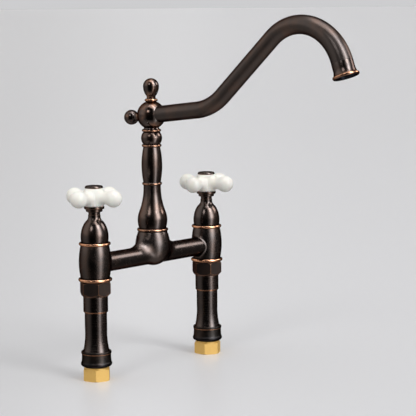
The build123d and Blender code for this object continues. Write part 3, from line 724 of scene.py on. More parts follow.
@dataclass
class Lathe:
    """Turns outlines into closed meshes about one axis."""

    origin: Vector
    direction: Vector = UP
    segments: int = 112
    rounding: float = 0.3
    sharp_angle: float = 38.0

    def turn(self, name: str, outline: Outline) -> bpy.types.Object:
        """Turn an outline.

        Args:
            name: The new piece's name.
            outline: The closed outline, in millimetres.

        Returns:
            The new object, with the rub and run attributes, the rub one holding worn copper and
            painted shade.
        """
        rows = outline.softened(self.rounding)
        axis = self.direction.normalized()
        across = axis.orthogonal().normalized()
        beside = axis.cross(across)
        mesh = bpy.data.meshes.new(name)
        form = bmesh.new()
        rub_and_shade_layer = form.verts.layers.float.new("rub")
        run_layer = form.verts.layers.float.new("run")
        loops: list[list[bmesh.types.BMVert]] = []
        run, last = 0.0, rows[0]
        for row in rows:
            radius, height, rub = row
            run += math.hypot(radius - last[0], height - last[1])
            last = row
            loop = []
            for n in range(1 if radius < ON_AXIS else self.segments):
                angle = FULL_TURN * n / self.segments
                spoke = across * math.cos(angle) + beside * math.sin(angle)
                vert = form.verts.new((self.origin + axis * height + spoke * radius) * MM)
                vert[rub_and_shade_layer], vert[run_layer] = rub, run
                loop.append(vert)
            loops.append(loop)
        for first, second in zip(loops, loops[1:] + loops[:1]):
            self._join(form, first, second)
        bmesh.ops.remove_doubles(form, verts=form.verts, dist=1e-7)
        bmesh.ops.recalc_face_normals(form, faces=form.faces)
        for face in form.faces:
            face.smooth = True
        form.to_mesh(mesh)
        form.free()
        mesh.set_sharp_from_angle(angle=math.radians(self.sharp_angle))
        return add_object(name, mesh)

    def _join(self, form: bmesh.types.BMesh, first: list, second: list) -> None:
        """Join two rows of points by faces, either of which may be a single pole.

        Args:
            form: The mesh being built.
            first: One row.
            second: The next row.
        """
        count = max(len(first), len(second))
        if count == 1:
            return
        for n in range(count):
            m = (n + 1) % count
            ring = [first[n % len(first)], first[m % len(first)],
                    second[m % len(second)], second[n % len(second)]]
            corners = list(dict.fromkeys(ring))
            if len(corners) > 2:
                form.faces.new(corners)


def add_object(name: str, data: bpy.types.ID) -> bpy.types.Object:
    """Put new data into the scene as an object at the origin.

    Args:
        name: The object's name.
        data: Its mesh, curve, lamp or lens.

    Returns:
        The object.
    """
    made = bpy.data.objects.new(name, data)
    bpy.context.scene.collection.objects.link(made)
    return made


def plain_mesh(source: bpy.types.Object, name: str) -> bpy.types.Object:
    """Turn an object with its modifiers into a plain mesh object.

    Args:
        source: The object, which is removed.
        name: The new object's name.

    Returns:
        The plain object.
    """
    graph = bpy.context.evaluated_depsgraph_get()
    mesh = bpy.data.meshes.new_from_object(source.evaluated_get(graph), depsgraph=graph)
    bpy.data.objects.remove(source)
    mesh.name = name
    return add_object(name, mesh)


@dataclass
class Workshop:
    """The finishes, and the last steps that every piece goes through."""

    materials: dict[str, bpy.types.Material]

    @classmethod
    def stocked(cls, finishes: Iterable) -> Workshop:
        """Build every finish's material."""
        return cls({finish.name: finish.build() for finish in finishes})

    def hand_over(self, piece: bpy.types.Object, finish: str, body: str, slot: Slot,
                  *nodes: str) -> None:
        """Give a piece its finish and body, in place of solids of the frame.

        Args:
            piece: The piece.
            finish: Its finish's name.
            body: The body that it moves with.
            slot: The record's slot; not used.
            nodes: The solids that it stands for.
        """
        piece.data.materials.clear()
        piece.data.materials.append(self.materials[finish])
        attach(piece, body)
        if nodes:
            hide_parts(*nodes)
        LOG.info("%s: %d faces, on %s", piece.name, len(piece.data.polygons), body)

    def dress(self, node: bpy.types.Object, finish: str) -> None:
        """Give a solid of the frame its finish.

        Args:
            node: The solid.
            finish: The finish's name.
        """
        for n in range(len(node.data.materials)):
            node.data.materials[n] = self.materials[finish]
        LOG.info("%s: kept, in %s", node.name, finish)


def heights(node: str) -> Point:
    """A solid's lowest and highest point, in millimetres."""
    low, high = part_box(node)
    return low.z / MM, high.z / MM


# ---------------------------------------------------------------- legs and valves


@dataclass
class ValveLeg:
    """One side's leg and bonnet, turned on the side's upright axis.

    The pairs are a radius and a height above the piece's lower face.
    """

    side: Side
    half_centres: float = 101.6
    tube_seat: float = 9.55
    foot_radius: float = 15.8
    bead_radius: float = 18.55
    bead_height: float = 5.6
    bead_step: float = 0.8
    flange_root: float = 17.35
    rim_radius: float = 17.9
    rim_height: float = 3.1
    flange_wall: float = 1.35
    flange_recess: float = 3.2
    column_radius: float = 13.15
    column_flare: float = 14.0
    shoulder_height: float = 2.4
    flare_height: float = 27.0
    collar_radius: float = 14.6
    collar_bevel: float = 0.9
    bonnet_foot: float = 15.9
    bonnet_widest: Point = (16.4, 8.0)
    bonnet_shoulder: Point = (13.45, 19.6)
    bonnet_flank: Point = (9.3, 25.5)
    bonnet_neck: Point = (7.3, 30.3)
    spindle_hole: Point = (5.55, 21.45)
    cartridge_room: Point = (14.0, 13.0)

    def build(self, shop: Workshop) -> None:
        """Make the side's turned pieces.

        Args:
            shop: The workshop that finishes them.
        """
        lathe = Lathe(self.side.axis(self.half_centres))
        makers = {
            # The base flange takes the darker bronze, painted shade for the dimmer light near the
            # floor.
            "base_flange": (self.base_flange, "bronze_foot"),
            "leg_column": (self.leg_column, "bronze_turned"),
            "leg_collar": (self.leg_collar, "bronze_turned"),
            "bonnet": (self.bonnet, "bronze_smooth"),
        }
        for word, (maker, finish) in makers.items():
            node = f"{self.side.label}_{word}"
            piece = lathe.turn(f"{node}_turned", maker(*heights(node)))
            shop.hand_over(piece, finish, "bridge", Slot.BRONZE, node)

    def base_flange(self, low: float, high: float) -> Outline:
        """The cup at the foot: a bead, a straight waist and a rounded rim over a worn line, with
        painted shade darkening the bead and the rim.

        Args:
            low: The solid's lowest point.
            high: Its highest point.

        Returns:
            The outline.
        """
        root, rim, rim_foot = self.flange_root, self.rim_radius, high - self.rim_height
        bead_top = (self.bead_radius - self.bead_step, low + self.bead_height)
        outline = Outline(self.foot_radius, low)
        # Negative values here are painted shade: they darken the bead and, further up, the rim.
        outline.arc((self.bead_radius, low + self.bead_height / 2), bead_top,
                    (-0.3, -0.7, -0.5), 14, True)
        outline.arc((root, (bead_top[1] + rim_foot) / 2), (root, rim_foot - 0.35), (-0.3, 0.0))
        outline.to((root + 0.1, rim_foot - 0.3, 0.5), (rim - 0.2, rim_foot, 0.95),
                   (rim - 0.1, rim_foot + 0.35, 0.5), (rim, rim_foot + 0.6, -0.2),
                   (rim, high - 1.0, -0.4))
        outline.tangent_arc((root, high), (0.0, 1.0), (-0.4, -0.4, 0.0), 8, True)
        inner, floor = root - self.flange_wall, high - self.flange_recess
        return outline.to((inner, high, 0.05), (inner, floor), (self.tube_seat, floor),
                          (self.tube_seat, low))

    def leg_column(self, low: float, high: float) -> Outline:
        """The slim sleeve with its flared foot.

        Args:
            low: The solid's lowest point.
            high: Its highest point.

        Returns:
            The outline.
        """
        shoulder = low + self.shoulder_height
        outline = Outline(self.foot_radius, low).to((self.foot_radius, shoulder))
        outline.arc((self.column_flare, shoulder + self.flare_height / 3),
                    (self.column_radius, shoulder + self.flare_height), (0.0, 0.0), 20)
        return outline.to((self.column_radius, high - 1.2), (self.column_radius, high, 0.25),
                          (self.tube_seat, high), (self.tube_seat, low))

    def leg_collar(self, low: float, high: float) -> Outline:
        """The plain collar, worn at its lower edge.

        Args:
            low: The solid's lowest point.
            high: Its highest point.

        Returns:
            The outline.
        """
        radius, bevel = self.collar_radius, self.collar_bevel
        return Outline(self.tube_seat, low).to(
            (radius - bevel, low, 0.4), (radius, low + bevel, 0.7), (radius, low + 2.0),
            (radius, high - 0.8), (radius, high, 0.15), (self.tube_seat, high))

    def bonnet(self, low: float, high: float) -> Outline:
        """The bell over the cartridge, drawn in to a short neck.

        Args:
            low: The solid's lowest point.
            high: Its highest point.

        Returns:
            The outline.
        """
        outline = Outline(self.bonnet_foot, low)
        outline.arc(raised(self.bonnet_widest, low), raised(self.bonnet_shoulder, low),
                    (0.0, 0.0), 20)
        for end in (self.bonnet_flank, self.bonnet_neck):
            outline.tangent_arc(raised(end, low), outline.heading, (0.0, 0.0), 14)
        return outline.to(
            (self.bonnet_neck[0], high, 0.05), (self.spindle_hole[0], high),
            raised(self.spindle_hole, low), raised(self.cartridge_room, low),
            (self.cartridge_room[0], low))


# ---------------------------------------------------------------- handles


@dataclass
class CrossHandle:
    """One side's handle: turned base, porcelain cross and metal button."""

    side: Side
    half_centres: float = 101.6
    foot_radius: float = 7.0
    step_radius: float = 9.8
    flange_radius: float = 12.0
    base_levels: tuple[float, float, float] = (3.2, 6.4, 9.4)
    base_bevel: float = 0.7
    boss_radius: float = 6.6
    screw_bore: float = 2.05
    screw_depth: float = 4.0
    spindle_bore: float = 3.95
    cap_seat: float = 1.8
    cap_radius: float = 10.7
    cap_crown: float = 7.9
    cap_lip: Point = (8.15, 9.35)
    hub_radius: float = 11.7
    hub_edge: float = 2.2
    ball_radius: float = 10.0
    ball_reach: float = 29.0
    ball_rise: float = 10.6
    turn: float = 6.0
    root_radius: float = 8.6
    waist_radius: float = 7.0
    waist_reach: float = 17.0
    blank_neck: float = 7.4
    hub_blend: float = 5.5
    ball_blend: float = 4.0
    boss_bore: Point = (6.65, 7.2)
    screw_hole: float = 2.1
    cap_bore: Point = (9.4, 5.4)
    voxel: float = 0.75
    sharp_angle: float = 45.0

    def build(self, shop: Workshop) -> None:
        """Make the side's handle.

        Args:
            shop: The workshop that finishes it.
        """
        label = self.side.label
        body = f"{label}_handle"
        centre = self.side.axis(self.half_centres)
        lathe = Lathe(centre)
        for word, maker in (("handle_base", self.base), ("index_cap", self.cap)):
            node = f"{label}_{word}"
            piece = lathe.turn(f"{node}_turned", maker(*heights(node)))
            shop.hand_over(piece, "bronze_smooth", body, Slot.BRONZE, node)
        cross = self.cross(centre, *heights(f"{label}_cross_handle"))
        shop.hand_over(cross, "glazed_porcelain", body, Slot.PORCELAIN, f"{label}_cross_handle")

    def base(self, low: float, high: float) -> Outline:
        """The stepped base with its boss.

        Args:
            low: The solid's lowest point.
            high: Its highest point.

        Returns:
            The outline.
        """
        step, flange, hub = (low + rise for rise in self.base_levels)
        bevel, socket_top = self.base_bevel, high - self.screw_depth
        return Outline(self.foot_radius, low, 0.1).to(
            (self.foot_radius, step), (self.step_radius - bevel, step, 0.04),
            (self.step_radius, step + bevel, 0.08), (self.step_radius, flange),
            (self.flange_radius - bevel, flange, 0.04),
            (self.flange_radius, flange + bevel, 0.15), (self.flange_radius, hub, 0.04),
            (self.boss_radius, hub), (self.boss_radius, high), (self.screw_bore, high),
            (self.screw_bore, socket_top), (self.spindle_bore, socket_top),
            (self.spindle_bore, low))

    def cap(self, low: float, high: float) -> Outline:
        """The button: a bright lower rim and a dark domed top.

        Args:
            low: The solid's lowest point.
            high: Its highest point.

        Returns:
            The outline.
        """
        seat = low + self.cap_seat
        inner, outer = self.cap_lip
        outline = Outline(0.0, high, 0.1, False).to(
            (0.0, seat), (inner, seat), (inner, low), (outer, low), (outer, seat),
            (self.cap_radius, seat, 0.60), (self.cap_radius, seat + 0.7, 0.05))
        outline.tangent_arc((self.cap_crown, high), (0.0, 1.0), (0.0, 0.0), 12)
        return outline.to((6.6, high, 0.04), (5.8, high - 0.5), (3.0, high - 0.35))

    def distance(self, spots: np.ndarray, low: float, high: float) -> np.ndarray:
        """How far points are from the cross's surface, negative within it.

        Args:
            spots: Points relative to the axis, with their true height.
            low: The hub's lower face.
            high: The hub's upper face.

        Returns:
            One signed distance for each point.
        """
        x, y, z = spots.T
        middle, half = (low + high) / 2, (high - low) / 2
        reach = np.hypot(x, y) - (self.hub_radius - self.hub_edge)
        rise = np.abs(z - middle) - (half - self.hub_edge)
        outside = np.hypot(np.maximum(reach, 0), np.maximum(rise, 0))
        hub = outside + np.minimum(np.maximum(reach, rise), 0) - self.hub_edge
        up = z - (low + self.ball_rise)
        arms = np.full(len(spots), 1e3)
        for along, aside in ((x, y), (-x, y), (y, x), (-y, x)):
            ball = np.sqrt((along - self.ball_reach) ** 2 + aside**2 + up**2) - self.ball_radius
            shape = np.clip((along - self.waist_reach) / self.waist_reach, -1, 0.5)
            neck_radius = self.waist_radius + (self.root_radius - self.waist_radius) * shape**2
            neck = np.hypot(aside, up) - neck_radius
            neck = np.maximum(neck, np.maximum(-along, along - self.ball_reach))
            arms = np.minimum(arms, smooth_union(ball, neck, self.ball_blend))
        return smooth_union(hub, arms, self.hub_blend)

    def blank(self, low: float, high: float) -> bpy.types.Object:
        """The cross's rough form: a hub and four arms with balls, made one by voxels.

        Args:
            low: The hub's lower face.
            high: The hub's upper face.

        Returns:
            The rough form, still with its modifier.
        """
        form = bmesh.new()
        rise = Vector((0, 0, low + self.ball_rise))
        bmesh.ops.create_cone(form, cap_ends=True, segments=64, radius1=self.hub_radius,
                              radius2=self.hub_radius, depth=high - low)
        bmesh.ops.translate(form, verts=form.verts, vec=(0, 0, (low + high) / 2))
        for quarter in range(4):
            angle = math.pi / 2 * quarter
            way = Vector((math.cos(angle), math.sin(angle), 0))
            ball = bmesh.ops.create_uvsphere(form, u_segments=32, v_segments=24,
                                             radius=self.ball_radius)["verts"]
            bmesh.ops.translate(form, verts=ball, vec=way * self.ball_reach + rise)
            neck = bmesh.ops.create_cone(form, cap_ends=True, segments=32,
                                         radius1=self.blank_neck, radius2=self.blank_neck,
                                         depth=self.ball_reach)["verts"]
            spin = UP.rotation_difference(way).to_matrix()
            bmesh.ops.rotate(form, verts=neck, matrix=spin)
            bmesh.ops.translate(form, verts=neck, vec=way * self.ball_reach / 2 + rise)
        rough = bpy.data.meshes.new("cross_blank")
        form.to_mesh(rough)
        form.free()
        blank = add_object("cross_blank", rough)
        remesh = blank.modifiers.new("even", "REMESH")
        remesh.mode = "VOXEL"
        remesh.voxel_size = self.voxel
        return blank

    def cross(self, centre: Vector, low: float, high: float) -> bpy.types.Object:
        """Model the porcelain as one soft form, then bore it for the boss and button.

        Args:
            centre: The handle's axis.
            low: The hub's lower face.
            high: The hub's upper face.

        Returns:
            The porcelain piece.
        """
        name = f"{self.side.label}_cross_glazed"
        cross = plain_mesh(self.blank(low, high), name)
        self._settle(cross.data, low, high)
        spin = Matrix.Rotation(math.radians(self.turn), 4, "Z")
        cross.data.transform(Matrix.Translation(centre * MM) @ Matrix.Scale(MM, 4) @ spin)
        boss, boss_floor = self.boss_bore[0], high - self.boss_bore[1]
        seat, seat_floor = self.cap_bore[0], high - self.cap_bore[1]
        bores = Outline(0.0, high + 1, 0.0, False).to(
            (0.0, low - 1), (boss, low - 1), (boss, boss_floor), (self.screw_hole, boss_floor),
            (self.screw_hole, seat_floor), (seat, seat_floor), (seat, high + 1))
        cutter = Lathe(centre, UP, 64, 0.0).turn("cross_bores", bores)
        cut = cross.modifiers.new("bores", "BOOLEAN")
        cut.object = cutter
        cut.operation = "DIFFERENCE"
        bored = plain_mesh(cross, name)
        bpy.data.objects.remove(cutter)
        bored.data.shade_smooth()
        bored.data.set_sharp_from_angle(angle=math.radians(self.sharp_angle))
        return bored

    def _settle(self, mesh: bpy.types.Mesh, low: float, high: float) -> None:
        """Move a mesh's points onto the cross's true surface.

        Args:
            mesh: The mesh.
            low: The hub's lower face.
            high: The hub's upper face.
        """
        spots = np.empty(len(mesh.vertices) * 3)
        mesh.vertices.foreach_get("co", spots)
        spots = spots.reshape(-1, 3)
        step = 0.01
        for _ in range(8):
            here = self.distance(spots, low, high)
            slope = np.stack([
                (self.distance(spots + shift, low, high) - here) / step
                for shift in np.eye(3) * step
            ], axis=1)
            size = np.maximum((slope**2).sum(axis=1, keepdims=True), 0.25)
            spots = spots - slope * np.clip(here, -1.0, 1.0)[:, None] / size
        mesh.vertices.foreach_set("co", spots.ravel())
        mesh.update()


def smooth_union(first: np.ndarray, second: np.ndarray, blend: float) -> np.ndarray:
    """Join two distance fields with a soft fillet."""
    mix = np.clip(0.5 + 0.5 * (second - first) / blend, 0, 1)
    return second * (1 - mix) + first * mix - blend * mix * (1 - mix)


# ---------------------------------------------------------------- spout column and ornaments


@dataclass
class SpoutColumn:
    """The turned baluster, its ball's finial and rear knob.

    A bead is its crown's radius, its height and the radius that it ends on. The other
    pairs are a radius and a height, above the bead below or above the piece's own foot.
    """

    ball_radius: float = 17.45
    ball_seat: float = 9.0
    foot_radius: float = 17.2
    foot_bead: tuple[float, float, float] = (19.0, 3.8, 16.4)
    bulb: Point = (18.1, 10.0)
    bulb_shoulder: Point = (16.0, 20.5)
    waist: Point = (10.6, 52.6)
    waist_bead: tuple[float, float, float] = (12.1, 3.6, 10.65)
    vase: Point = (12.6, 21.4)
    vase_top: Point = (10.2, 42.8)
    vase_bead: tuple[float, float, float] = (12.0, 3.6, 10.2)
    small_ball: Point = (12.75, 7.5)
    small_ball_top: Point = (9.7, 15.0)
    top_bead: tuple[float, float, float] = (11.7, 3.2, 9.7)
    top_step: Point = (9.0, 1.9)
    tenon: float = 7.6
    bore: float = 6.5
    spigot_socket: Point = (9.45, 10.05)
    stud: Point = (3.0, -9.0)
    finial_height: float = 37.15
    finial_bead: tuple[float, float, float] = (7.9, 3.4, 5.45)
    finial_neck: Point = (5.45, 6.4)
    egg: Point = (9.65, 18.55)
    knob_seat: float = 5.3
    knob_bead: tuple[float, float, float] = (6.6, 2.6, 5.3)
    knob_neck: Point = (4.4, 8.2)
    knob_ball: float = 9.15
    first_rise: float = 6.7

    def build(self, shop: Workshop) -> None:
        """Make the column and ornaments.

        Args:
            shop: The workshop that finishes them.
        """
        column = Lathe(Vector((0, 0, 0))).turn("spout_column_turned",
                                               self.column(*heights("spout_column")))
        shop.hand_over(column, "bronze_smooth", "spout", Slot.BRONZE, "spout_column")
        foot = heights("finial")[1] - self.finial_height - self.stud[1]
        finial = Lathe(Vector((0, 0, foot)), UP, 72).turn("finial_turned", self.finial())
        shop.hand_over(finial, "bronze_ornament", "spout", Slot.BRONZE, "finial")
        tilt = math.radians(self.first_rise)
        back = Vector((0, math.cos(tilt), -math.sin(tilt)))
        seat = math.sqrt(self.ball_radius**2 - self.knob_seat**2)
        start = Vector((0, 0, self.ball_height())) + back * seat
        knob = Lathe(start, back, 72).turn("rear_knob_turned", self.knob())
        shop.hand_over(knob, "bronze_ornament", "spout", Slot.BRONZE, "rear_knob")

    def ball_height(self) -> float:
        """The ball's centre, from the height of the face that it stands on."""
        return heights("ball_hub")[0] + math.sqrt(self.ball_radius**2 - self.ball_seat**2)

    def column(self, low: float, high: float) -> Outline:
        """The baluster: bulb, waist, vase and small ball between rings.

        Args:
            low: The solid's lowest point.
            high: Its highest point.

        Returns:
            The outline.
        """
        outline = Outline(self.foot_radius, low, 0.1).bead(*self.foot_bead)
        base = outline.end[1]
        outline.arc(raised(self.bulb, base), raised(self.bulb_shoulder, base), (0.0, 0.05), 20)
        outline.tangent_arc(raised(self.waist, base), outline.heading, (0.05, 0.0), 24, True)
        for bead, middle, end, rubs_and_shades, steps in (
            (self.waist_bead, self.vase, self.vase_top, (0.0, 0.05, 0.0), 28),
            (self.vase_bead, self.small_ball, self.small_ball_top, (0.0, 0.02, 0.0), 18),
        ):
            base = outline.bead(*bead).end[1]
            outline.arc(raised(middle, base), raised(end, base), rubs_and_shades, steps, True)
        outline.bead(*self.top_bead)
        step, top = self.top_step[0], outline.end[1] + self.top_step[1]
        socket, socket_top = raised(self.spigot_socket, low)
        return outline.to((step, top), (self.tenon, top), (self.tenon, high), (self.bore, high),
                          (self.bore, socket_top), (socket, socket_top), (socket, low))

    def finial(self) -> Outline:
        """The ring, neck and egg, with the stud below.

        Returns:
            The outline.
        """
        outline = Outline(6.0, 0.0).bead(*self.finial_bead).smooth_to(*self.finial_neck)
        rise = arc_from(self.egg, self.finial_neck, (0.0, -1.0), 14)[::-1]
        outline.follow(rise[1:] + [self.egg], (0.0, 0.0), False)
        return self._domed(outline, self.egg[0], self.egg[1], np.linspace(0, math.pi / 2, 17))

    def knob(self) -> Outline:
        """The ring, neck and round ball, with the stud below.

        Returns:
            The outline.
        """
        neck, neck_top = self.knob_neck
        rise = math.sqrt(self.knob_ball**2 - neck**2)
        outline = Outline(self.knob_seat, 0.0).bead(*self.knob_bead)
        outline.to((neck, self.knob_bead[1]), (neck, neck_top))
        angles = np.linspace(math.atan2(-rise, neck), math.pi / 2, 25)
        return self._domed(outline, self.knob_ball, neck_top + rise, angles)

    def _domed(self, outline: Outline, radius: float, middle: float,
               angles: np.ndarray) -> Outline:
        """Close an ornament with a round top, down to the foot of its stud.

        Args:
            outline: The outline up to the round.
            radius: The round's radius.
            middle: Its centre's height.
            angles: Where it is stepped, the first one being the outline's end.

        Returns:
            The outline itself.
        """
        dome = [(radius * math.cos(a), middle + radius * math.sin(a)) for a in angles[1:]]
        outline.follow(dome, (0.0, 0.0, 0.1), False)
        outline.points[-1] = (0.0, middle + radius, 0.1, False)
        return outline.smooth_to(0.0, self.stud[1]).to(self.stud, (self.stud[0], 0.0))


# ---------------------------------------------------------------- spout tube and outlet


@dataclass
class SpoutTube:
    """The bent tube, widening along its hook, and the flared outlet at its end."""

    ball_height: float
    first_rise: float = 6.7
    first_length: float = 73.8
    start: float = 12.0
    bend_radius: float = 70.6
    diagonal_rise: float = 42.5
    diagonal_length: float = 99.3
    hook_radius: float = 60.5
    outlet_fall: float = 71.0
    radius: float = 10.05
    end_radius: float = 12.5
    wall: float = 1.6
    sides: int = 96
    sharp_angle: float = 50.0
    flare_start: float = 7.0
    throat: Point = (13.7, 14.0)
    ring: Point = (15.4, 16.0)
    ring_end: Point = (14.3, 18.0)
    lip: tuple[Point, Point] = ((13.3, 18.0), (12.9, 17.5))
    mouth: tuple[Point, Point] = ((11.0, 15.0), (11.0, 5.2))
    waterway: float = 9.05
    tenon: Point = (10.65, -3.0)

    def build(self, shop: Workshop) -> None:
        """Make the tube and the outlet.

        Args:
            shop: The workshop that finishes them.
        """
        points, hook_share = self.route()
        tube = self.sweep(points, hook_share)
        shop.hand_over(tube, "bronze_tube", "spout", Slot.BRONZE, "spout_tube")
        fall = math.radians(self.outlet_fall)
        flow = Vector((0, -math.cos(fall), -math.sin(fall)))
        lathe = Lathe(Vector(points[-1]), flow, 128, 0.2)
        shell = lathe.turn("outlet_shell_turned", self.outlet())
        shop.hand_over(shell, "bronze_smooth", "spout", Slot.BRONZE, "outlet_shell")

    def route(self) -> tuple[list[tuple[float, float, float]], float]:
        """Follow the tube's middle line.

        Returns:
            The points, and how far along them the hook starts, as a share.
        """
        heading = math.radians(self.first_rise)
        here = np.array([self.start * math.cos(heading), self.start * math.sin(heading)])
        runs = [
            (self.first_length - self.start, 0.0, 24),
            (self.bend_radius, math.radians(self.diagonal_rise - self.first_rise), 40),
            (self.diagonal_length, 0.0, 32),
            (self.hook_radius, -math.radians(self.diagonal_rise + self.outlet_fall), 96),
        ]
        line, lengths = [here], [0.0]
        for size, turn, steps in runs:
            length = size * abs(turn) if turn else size
            stride = length / steps
            if turn:
                stride = 2 * size * math.sin(abs(turn) / steps / 2)
            for _ in range(steps):
                heading += turn / steps / 2
                here = here + stride * np.array([math.cos(heading), math.sin(heading)])
                heading += turn / steps / 2
                line.append(here)
            lengths.append(lengths[-1] + length)
        points = [(0.0, float(-u), float(v + self.ball_height)) for u, v in line]
        return points, lengths[3] / lengths[4]

    def sweep(self, points: Sequence[tuple[float, float, float]],
              hook_share: float) -> bpy.types.Object:
        """Sweep the tube along its route with a node tree, and make it a plain mesh.

        Args:
            points: The middle line, in millimetres.
            hook_share: Where the tube starts to widen, as a share of its length.

        Returns:
            The tube.
        """
        curve = bpy.data.curves.new("spout_line", "CURVE")
        curve.dimensions = "3D"
        spline = curve.splines.new("POLY")
        spline.points.add(len(points) - 1)
        for spot, point in zip(spline.points, points):
            spot.co = (*(value * MM for value in point), 1.0)
        line = add_object("spout_line", curve)
        tree = tube_tree()
        modifier = line.modifiers.new("tube", "NODES")
        modifier.node_group = tree
        sizes = {
            "Radius": self.radius * MM, "End Radius": self.end_radius * MM,
            "Wall": self.wall * MM, "Hook Start": hook_share, "Sides": self.sides,
        }
        for item in tree.interface.items_tree:
            if item.item_type == "SOCKET" and item.name in sizes:
                modifier[item.identifier] = sizes[item.name]
        tube = plain_mesh(line, "spout_tube_swept")
        tube.data.set_sharp_from_angle(angle=math.radians(self.sharp_angle))
        return tube

    def outlet(self) -> Outline:
        """The flared shell: throat, copper ring, and the lip and mouth drawn dark as painted
        shade.

        Returns:
            The outline, with heights along the flow.
        """
        outline = Outline(self.end_radius, 0.0).smooth_to(self.end_radius, self.flare_start)
        outline.tangent_arc(self.throat, (0.0, 1.0), (0.0, 0.0, 0.05), 10, True)
        outline.arc(self.ring, self.ring_end, (0.0, 0.1, 0.85, 0.4, 0.0), 16, True)
        floor, (tenon, tenon_end) = self.mouth[1][1], self.tenon
        # The lip and the mouth carry negative values: painted shade inside the outlet.
        return outline.to(
            (*self.lip[0], -0.6), (*self.lip[1], -1.0), (*self.mouth[0], -1.0),
            (*self.mouth[1], -1.0), (self.waterway, floor), (self.waterway, tenon_end),
            (tenon, tenon_end), (tenon, 0.0))


def tube_tree() -> bpy.types.GeometryNodeTree:
    """Build the node tree that sweeps a widening, hollow tube along a curve.

    Returns:
        The tree, with its sizes as named inputs.
    """
    tree = bpy.data.node_groups.new("hooked_tube", "GeometryNodeTree")
    face = tree.interface
    face.new_socket("Geometry", in_out="INPUT", socket_type="NodeSocketGeometry")
    for name in ("Radius", "End Radius", "Wall", "Hook Start"):
        face.new_socket(name, in_out="INPUT", socket_type="NodeSocketFloat")
    face.new_socket("Sides", in_out="INPUT", socket_type="NodeSocketInt")
    face.new_socket("Geometry", in_out="OUTPUT", socket_type="NodeSocketGeometry")
    board = NodeBoard(tree)
    given = board.node("NodeGroupInput").outputs
    result = board.node("NodeGroupOutput")
    along = board.node("GeometryNodeSplineParameter").outputs

    widen = board.node("ShaderNodeMapRange", Value=along["Factor"],
                       From_Min=given["Hook Start"], To_Min=given["Radius"],
                       To_Max=given["End Radius"])
    fatten = board.node("GeometryNodeSetCurveRadius", Curve=given["Geometry"],
                        Radius=widen.outputs["Result"])
    run = board.node("GeometryNodeStoreNamedAttribute", {"data_type": "FLOAT", "domain": "POINT"},
                     Geometry=fatten.outputs[0], Name="run",
                     Value=board.maths("MULTIPLY", along["Length"], 1 / MM))

    ring = board.node("GeometryNodeCurvePrimitiveCircle", Radius=1.0, Resolution=given["Sides"])
    width = board.node("GeometryNodeInputNamedAttribute", {"data_type": "FLOAT"}, Name="radius")
    outer = board.node("GeometryNodeCurveToMesh", Curve=run.outputs[0],
                       Profile_Curve=ring.outputs["Curve"], Scale=width.outputs["Attribute"])

    pushed = board.node("GeometryNodeExtrudeMesh", {"mode": "FACES"}, Individual=False,
                        Mesh=outer.outputs["Mesh"],
                        Offset_Scale=board.maths("MULTIPLY", given["Wall"], -1.0))
    turned = board.node("GeometryNodeFlipFaces", Mesh=pushed.outputs["Mesh"])
    both = board.node("GeometryNodeJoinGeometry")
    for skin in (outer, turned):
        board.feed(both.inputs[0], skin.outputs["Mesh"])
    sealed = board.node("GeometryNodeMergeByDistance", Geometry=both.outputs[0], Distance=1e-6)
    smooth = board.node("GeometryNodeSetShadeSmooth", Geometry=sealed.outputs[0])
    real = board.node("GeometryNodeRealizeInstances", Geometry=smooth.outputs[0])
    paint = board.node("GeometryNodeSetMaterial", Geometry=real.outputs[0],
                       Material=bpy.data.materials["bronze_tube"])
    board.feed(result.inputs[0], paint.outputs[0])
    return tree


# ---------------------------------------------------------------- studio


@dataclass(frozen=True)
class SunLamp:
    """A broad far lamp for the shadows, which metal doesn't mirror."""

    name: str
    turn: float
    rise: float
    power: float
    spread: float


@dataclass(frozen=True)
class SoftBox:
    """A lit panel that only polished surfaces mirror, at a distance in metres."""

    name: str
    turn: float
    rise: float
    away: float
    wide: float
    tall: float
    power: float
    colour: Colour = (1.0, 0.965, 0.95)


